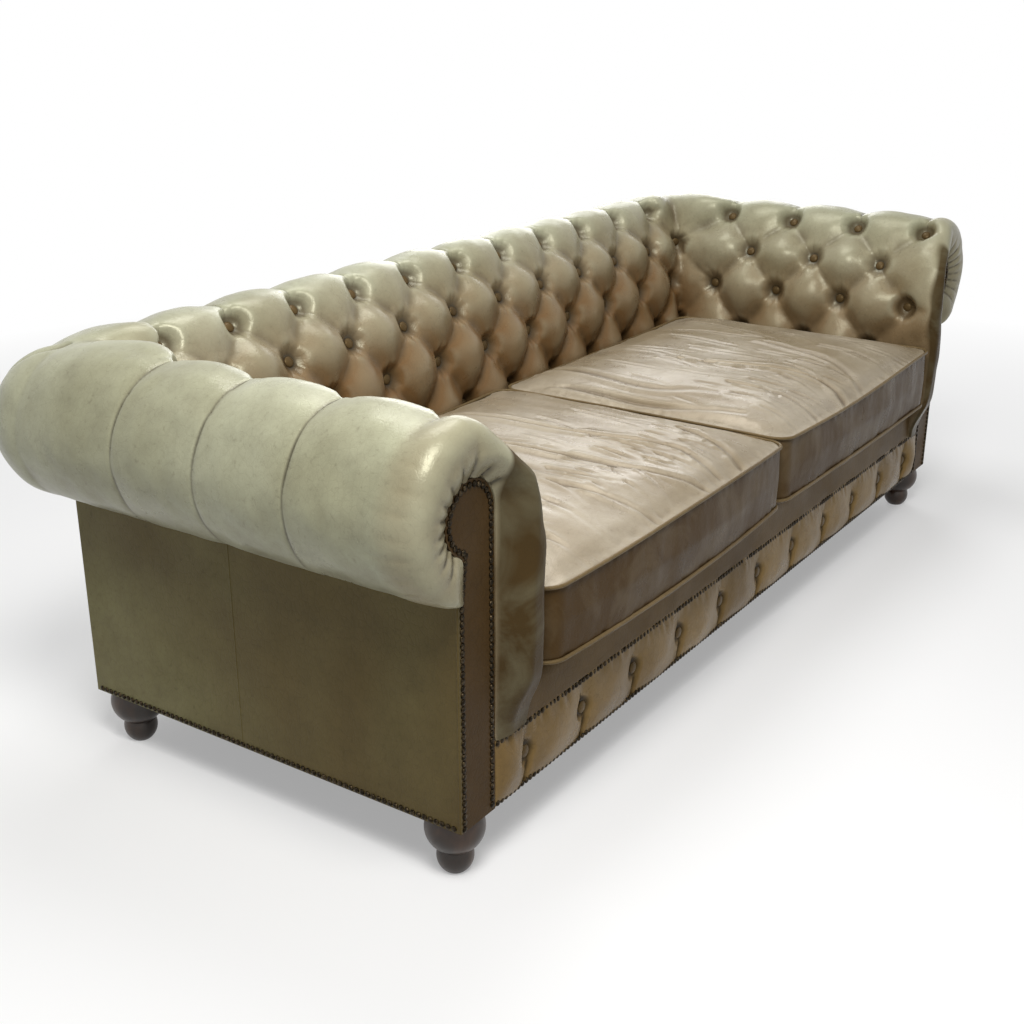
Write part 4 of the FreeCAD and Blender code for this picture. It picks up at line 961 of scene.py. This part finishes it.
class Finish:
    """A material put together node by node."""

    def __init__(self, name, owner=None):
        self.material = owner or bpy.data.materials.new(name)
        self.material.use_nodes = True
        self.tree = self.material.node_tree
        self.shader = self.tree.nodes.get("Principled BSDF")
        self.place = self.tree.nodes.new("ShaderNodeTexCoord").outputs["Object"]

    def node(self, kind, settings=None, **inputs):
        made = self.tree.nodes.new("ShaderNode" + kind)
        for name, value in (settings or {}).items():
            setattr(made, name, value)
        for name, value in inputs.items():
            self.feed(made.inputs[name.replace("_", " ")], value)
        return made

    def feed(self, socket, value):
        if isinstance(value, bpy.types.NodeSocket):
            self.tree.links.new(value, socket)
        else:
            socket.default_value = value

    def spread(self, across, up, high):
        """Object coordinates stretched along the axes."""
        return self.node("Mapping", Vector=self.place, Scale=(across, up, high)).outputs["Vector"]

    def noise(self, scale, detail=3.0, roughness=0.5, place=None, distortion=0.0):
        return self.node("TexNoise", Vector=place or self.place, Scale=scale, Detail=detail,
                         Roughness=roughness, Distortion=distortion).outputs["Fac"]

    def cells(self, scale, feature="F1", place=None):
        return self.node("TexVoronoi", {"feature": feature}, Vector=place or self.place,
                         Scale=scale).outputs["Distance"]

    def ramp(self, value, low, high, start=0.0, end=1.0):
        return self.node("MapRange", {"clamp": True}, Value=value, From_Min=low, From_Max=high,
                         To_Min=start, To_Max=end).outputs["Result"]

    def mix(self, share, first, second):
        """Colours mixed: 6 and 7 are the colour sockets of the node, 2 its colour output."""
        made = self.node("Mix", {"data_type": "RGBA"})
        self.feed(made.inputs[0], share)
        self.feed(made.inputs[6], first)
        self.feed(made.inputs[7], second)
        return made.outputs[2]

    def math(self, operation, first, second=0.0):
        made = self.node("Math", {"operation": operation})
        self.feed(made.inputs[0], first)
        self.feed(made.inputs[1], second)
        return made.outputs[0]

    def attribute(self, name):
        return self.node("Attribute", {"attribute_name": name}).outputs["Fac"]

    def coat(self, **inputs):
        """Feed the shader's sockets; gives back the material."""
        for name, value in inputs.items():
            self.feed(self.shader.inputs[name.replace("_", " ")], value)
        return self.material

    def seen_rays(self):
        """1 for the rays that show the backdrop: the camera's, reflected and refracted ones."""
        path = self.node("LightPath").outputs
        seen = self.math("MAXIMUM", path["Is Camera Ray"], path["Is Glossy Ray"])
        return self.math("MAXIMUM", seen, path["Is Transmission Ray"])

    def shade_between(self, share, first, second, output):
        made = self.node("MixShader")
        for socket, value in zip(made.inputs, (share, first, second)):
            self.feed(socket, value)
        self.feed(self.tree.nodes[output].inputs["Surface"], made.outputs[0])

    def bump(self, height, strength, distance, under=None):
        made = self.node("Bump", Height=height, Strength=strength, Distance=distance)
        if under is not None:
            self.feed(made.inputs["Normal"], under)
        return made.outputs["Normal"]


def darker(colour, share):
    return tuple(share * value for value in colour[:3]) + (1,)


def leather(name, pale, mid, dark, gloss=0.42, patch=2.4, worn=None, folds=False, cross=0.5, side=None,
            pits=False, sheen=0.22):
    """Hand-antiqued leather: drifting hues, mottling, fine creases, pebble, painted shade in hollows,
    creases and pits and on side faces, and painted highlight on crowns.
    """
    paint = Finish(name)
    drift = paint.ramp(paint.noise(patch, 2.0, 0.5, distortion=0.6), 0.35, 0.65)
    colour = paint.mix(drift, mid, pale)
    mottle = paint.ramp(paint.noise(17, 6.0, 0.7), 0.30, 0.75)
    colour = paint.mix(paint.math("MULTIPLY", mottle, 0.35), colour, dark)
    if worn is not None:
        colour = paint.mix(paint.ramp(paint.attribute("inner"), 0.10, 0.80), colour, worn)
    freckle = paint.ramp(paint.noise(95, 4.0, 0.65), 0.58, 0.78, 0.0, 0.35)
    colour = paint.mix(freckle, colour, dark)
    crack_place = paint.node("Mapping", Vector=paint.place, Scale=(1.0, 1.3, 0.8)).outputs["Vector"]
    cracks = paint.ramp(paint.cells(70, "DISTANCE_TO_EDGE", crack_place), 0.0, 0.09, 1.0, 0.0)
    colour = paint.mix(paint.math("MULTIPLY", cracks, 0.22 * cross), colour, dark)
    # With folds set, the marks below paint shade and highlight from the relief, side and crease attributes.
    if folds:
        relief = paint.attribute("relief")
        # Painted shade in the hollows of the relief.
        hollow_shade = paint.ramp(relief, 0.15, 0.5, 0.75, 0.0)
        colour = paint.mix(hollow_shade, colour, dark)
        # Painted highlight on the crowns of the relief.
        crown = paint.ramp(relief, 0.55, 0.95, 0.0, 0.45)
        colour = paint.mix(crown, colour, pale)
        # Painted shade on the faces marked side: the darker side colour, with lighter rubbed patches of
        # wear.
        if side is not None:
            rubbed = paint.ramp(paint.noise(7, 4.0, 0.6, distortion=0.8), 0.45, 0.75, 0.0, 0.3)
            rubbed = paint.mix(rubbed, side, mid)
            colour = paint.mix(paint.ramp(paint.attribute("side"), 0.1, 0.7), colour, rubbed)
        # Painted shade along the creases.
        crease_shade_share = paint.ramp(paint.attribute("crease_shade"), 0.25, 1.0, 0.0, 0.9)
        colour = paint.mix(crease_shade_share, colour, darker(dark, 0.22))
    # Painted shade in the pits round the buttons.
    if pits:
        pit_shade = paint.ramp(paint.attribute("pit"), 0.15, 0.9, 0.0, 0.92)
        colour = paint.mix(pit_shade, colour, darker(dark, 0.35))
    shine = paint.ramp(paint.noise(9, 5.0, 0.6), 0.3, 0.7, gloss - 0.08, gloss + 0.10)
    level = sheen
    if side is not None:
        level = paint.ramp(paint.attribute("side"), 0.1, 0.7, sheen, 0.2 * sheen)
    most = max(mid[:3])
    tint = tuple((value / most) ** 0.6 for value in mid[:3]) + (1,)
    normal = paint.bump(paint.cells(430), 0.10, 0.0012)
    creases = paint.noise(120, 5.0, 0.6, place=crack_place, distortion=0.8)
    normal = paint.bump(creases, 0.18 * cross, 0.002, normal)
    normal = paint.bump(cracks, 0.30 * cross, -0.0012, normal)
    return paint.coat(Base_Color=colour, Roughness=shine, Specular_IOR_Level=level, Specular_Tint=tint,
                      Normal=normal)


def wood(name, light, dark, along, gloss):
    """Straight-grained timber; along gives the stretch of the grain on each axis."""
    paint = Finish(name)
    place = paint.spread(*along)
    grain = paint.noise(55, 6.0, 0.65, place=place, distortion=1.2)
    rings = paint.noise(9, 3.0, 0.5, place=place, distortion=2.0)
    colour = paint.mix(paint.ramp(rings, 0.35, 0.65), dark, light)
    colour = paint.mix(paint.ramp(grain, 0.45, 0.7, 0.0, 0.6), colour, dark)
    return paint.coat(Base_Color=colour, Roughness=paint.ramp(grain, 0.3, 0.7, gloss, gloss + 0.15),
                      Normal=paint.bump(grain, 0.15, 0.0008))


def woven(name, light, dark, scale, gloss=0.9):
    """A plain open weave."""
    paint = Finish(name)
    warp = paint.node("TexWave", {"bands_direction": "X"}, Vector=paint.place, Scale=scale).outputs["Fac"]
    weft = paint.node("TexWave", {"bands_direction": "Y"}, Vector=paint.place, Scale=scale).outputs["Fac"]
    threads = paint.math("MAXIMUM", warp, weft)
    slub = paint.noise(60, 4.0, 0.6)
    colour = paint.mix(paint.ramp(threads, 0.3, 1.0), dark, light)
    colour = paint.mix(paint.ramp(slub, 0.4, 0.7, 0.0, 0.4), colour, dark)
    return paint.coat(Base_Color=colour, Roughness=gloss, Normal=paint.bump(threads, 0.4, 0.001))


def metal(name, base, worn, gloss):
    """Antiqued metal, brighter where it is rubbed."""
    paint = Finish(name)
    rub = paint.ramp(paint.noise(180, 4.0, 0.6), 0.45, 0.72)
    return paint.coat(Base_Color=paint.mix(rub, base, worn), Metallic=1.0,
                      Roughness=paint.ramp(rub, 0.0, 1.0, gloss + 0.15, gloss),
                      Normal=paint.bump(rub, 0.15, 0.0004))


# Painted shade in hollows, creases and pits and on the front strips, painted highlight on crowns; side is
# the painted shade colour.
roll_leather = leather("roll_leather", tone(172, 173, 149), tone(148, 147, 121), tone(62, 46, 25),
                       gloss=0.30, worn=tone(112, 84, 52), folds=True, cross=0.3, side=tone(66, 51, 28),
                       pits=True, sheen=0.4)
# Painted shade in hollows and folds and on the boxing, painted highlight on crowns; side is the painted
# shade colour of the boxing.
cushion_leather = leather("cushion_leather", tone(158, 148, 130), tone(134, 121, 98), tone(78, 60, 36),
                          gloss=0.30, folds=True, cross=0.3, side=tone(70, 52, 28), sheen=0.45)
facing_leather = leather("facing_leather", tone(80, 60, 32), tone(66, 48, 24), tone(38, 28, 14), sheen=0.1)
panel_leather = leather("panel_leather", tone(120, 116, 80), tone(82, 68, 38), tone(46, 36, 18), patch=1.3)
# Painted shade in hollows, pleats and button pits, painted highlight on crowns.
border_leather = leather("border_leather", tone(138, 114, 74), tone(100, 79, 45), tone(50, 36, 18),
                         gloss=0.30, folds=True, pits=True, sheen=0.28)
lip_leather = leather("lip_leather", tone(98, 78, 46), tone(78, 60, 34), tone(46, 34, 18), sheen=0.12)
button_leather = leather("button_leather", tone(96, 78, 50), tone(72, 57, 34), tone(40, 30, 16), gloss=0.34)
welt_leather = leather("welt_leather", tone(112, 95, 66), tone(90, 74, 48), tone(52, 40, 24))
hardwood = wood("hardwood", tone(196, 164, 120), tone(150, 112, 70), (0.4, 0.4, 1.0), 0.6)
walnut = wood("walnut", tone(70, 46, 26), tone(34, 22, 12), (1.0, 1.0, 0.25), 0.28)
steel = metal("steel", tone(150, 150, 152), tone(200, 200, 202), 0.3)
bronze = metal("antique_bronze", tone(34, 29, 22), tone(84, 72, 54), 0.34)
jute = woven("jute", tone(186, 160, 112), tone(110, 88, 56), 160)
dust_cloth = woven("dust_cloth", tone(42, 42, 42), tone(16, 16, 16), 260)
deck_cloth = woven("deck_cloth", tone(112, 92, 64), tone(70, 56, 38), 220)


def wear(piece, material):
    piece.data.materials.clear()
    piece.data.materials.append(material)


wear(sofa_skin, roll_leather)
for piece in button_pieces:
    wear(piece, button_leather)
for piece in nail_pieces:
    wear(piece, bronze)
for piece, welts in cushions:
    wear(piece, cushion_leather)
    for item in welts:
        wear(item, welt_leather)
wear(border_piece, border_leather)
wear(lip_piece, lip_leather)
wear(deck_piece, deck_cloth)
for piece in panel_pieces:
    wear(piece, panel_leather)

node_finishes = {
    "left_facing": facing_leather, "right_facing": facing_leather, "left_outside_panel": panel_leather,
    "right_outside_panel": panel_leather, "back_outside_panel": panel_leather, "foot_studs": steel,
    "dust_cover": dust_cloth,
}
for name, node in nodes.items():
    if name in node_finishes:
        wear(node, node_finishes[name])
    elif name.endswith("_foot"):
        wear(node, walnut)
    elif "webbing" in name:
        wear(node, jute)
    elif not node.hide_render:
        wear(node, hardwood)


# Floor, light and camera

def studio():
    bpy.ops.object.select_all(action="DESELECT")
    bpy.ops.mesh.primitive_plane_add(size=40, location=(0, 0, 0))
    floor = bpy.context.object
    floor.name = "studio_floor"
    paint = Finish("studio_floor")
    paint.coat(Base_Color=(0.86, 0.86, 0.86, 1), Roughness=0.9, Specular_IOR_Level=0.1)
    glow = paint.node("Emission", Color=(1, 1, 1, 1), Strength=1.0).outputs["Emission"]
    far = paint.node("VectorMath", {"operation": "LENGTH"}, Vector=paint.place).outputs["Value"]
    share = paint.math("MULTIPLY", paint.seen_rays(), paint.ramp(far, 1.4, 3.4, 0.35, 1.0))
    paint.shade_between(share, paint.shader.outputs["BSDF"], glow, "Material Output")
    wear(floor, paint.material)

    sky = Finish("studio", bpy.data.worlds.new("studio"))
    bpy.context.scene.world = sky.material
    soft = sky.node("Background", Color=(0.95, 0.97, 1.0, 1), Strength=0.15).outputs[0]
    white = sky.node("Background", Color=(1, 1, 1, 1), Strength=1.0).outputs[0]
    sky.shade_between(sky.seen_rays(), soft, white, "World Output")

    for name, spot, target, size, watts, colour in (
            ("key", (-1.9, -1.2, 2.9), (-0.3, 0, 0.4), 1.1, 96, (1.0, 0.99, 0.97)),
            ("ceiling", (0.3, 0.5, 3.1), (0.1, 0, 0.4), 1.5, 46, (1.0, 1.0, 1.0)),
            ("far_window", (3.2, 1.9, 1.9), (0, 0, 0.45), 2.2, 38, (1.0, 1.0, 1.0))):
        lamp = bpy.data.lights.new(name, "AREA")
        lamp.size = size
        lamp.energy = watts
        lamp.color = colour
        light = bpy.data.objects.new(name, lamp)
        bpy.context.scene.collection.objects.link(light)
        light.location = spot
        light.rotation_euler = (Vector(target) - Vector(spot)).to_track_quat("-Z", "Y").to_euler()

    lens = bpy.data.cameras.new("camera")
    lens.lens = 48.68
    lens.sensor_width = 36
    lens.shift_x = 0.0024
    lens.shift_y = 0.0003
    camera = bpy.data.objects.new("camera", lens)
    bpy.context.scene.collection.objects.link(camera)
    camera.location = (-2.547, -1.560, 1.352)
    camera.rotation_euler = (math.radians(68.99), 0, math.radians(-55.64))
    bpy.context.scene.camera = camera
    bpy.context.scene.view_settings.view_transform = "Standard"


studio()
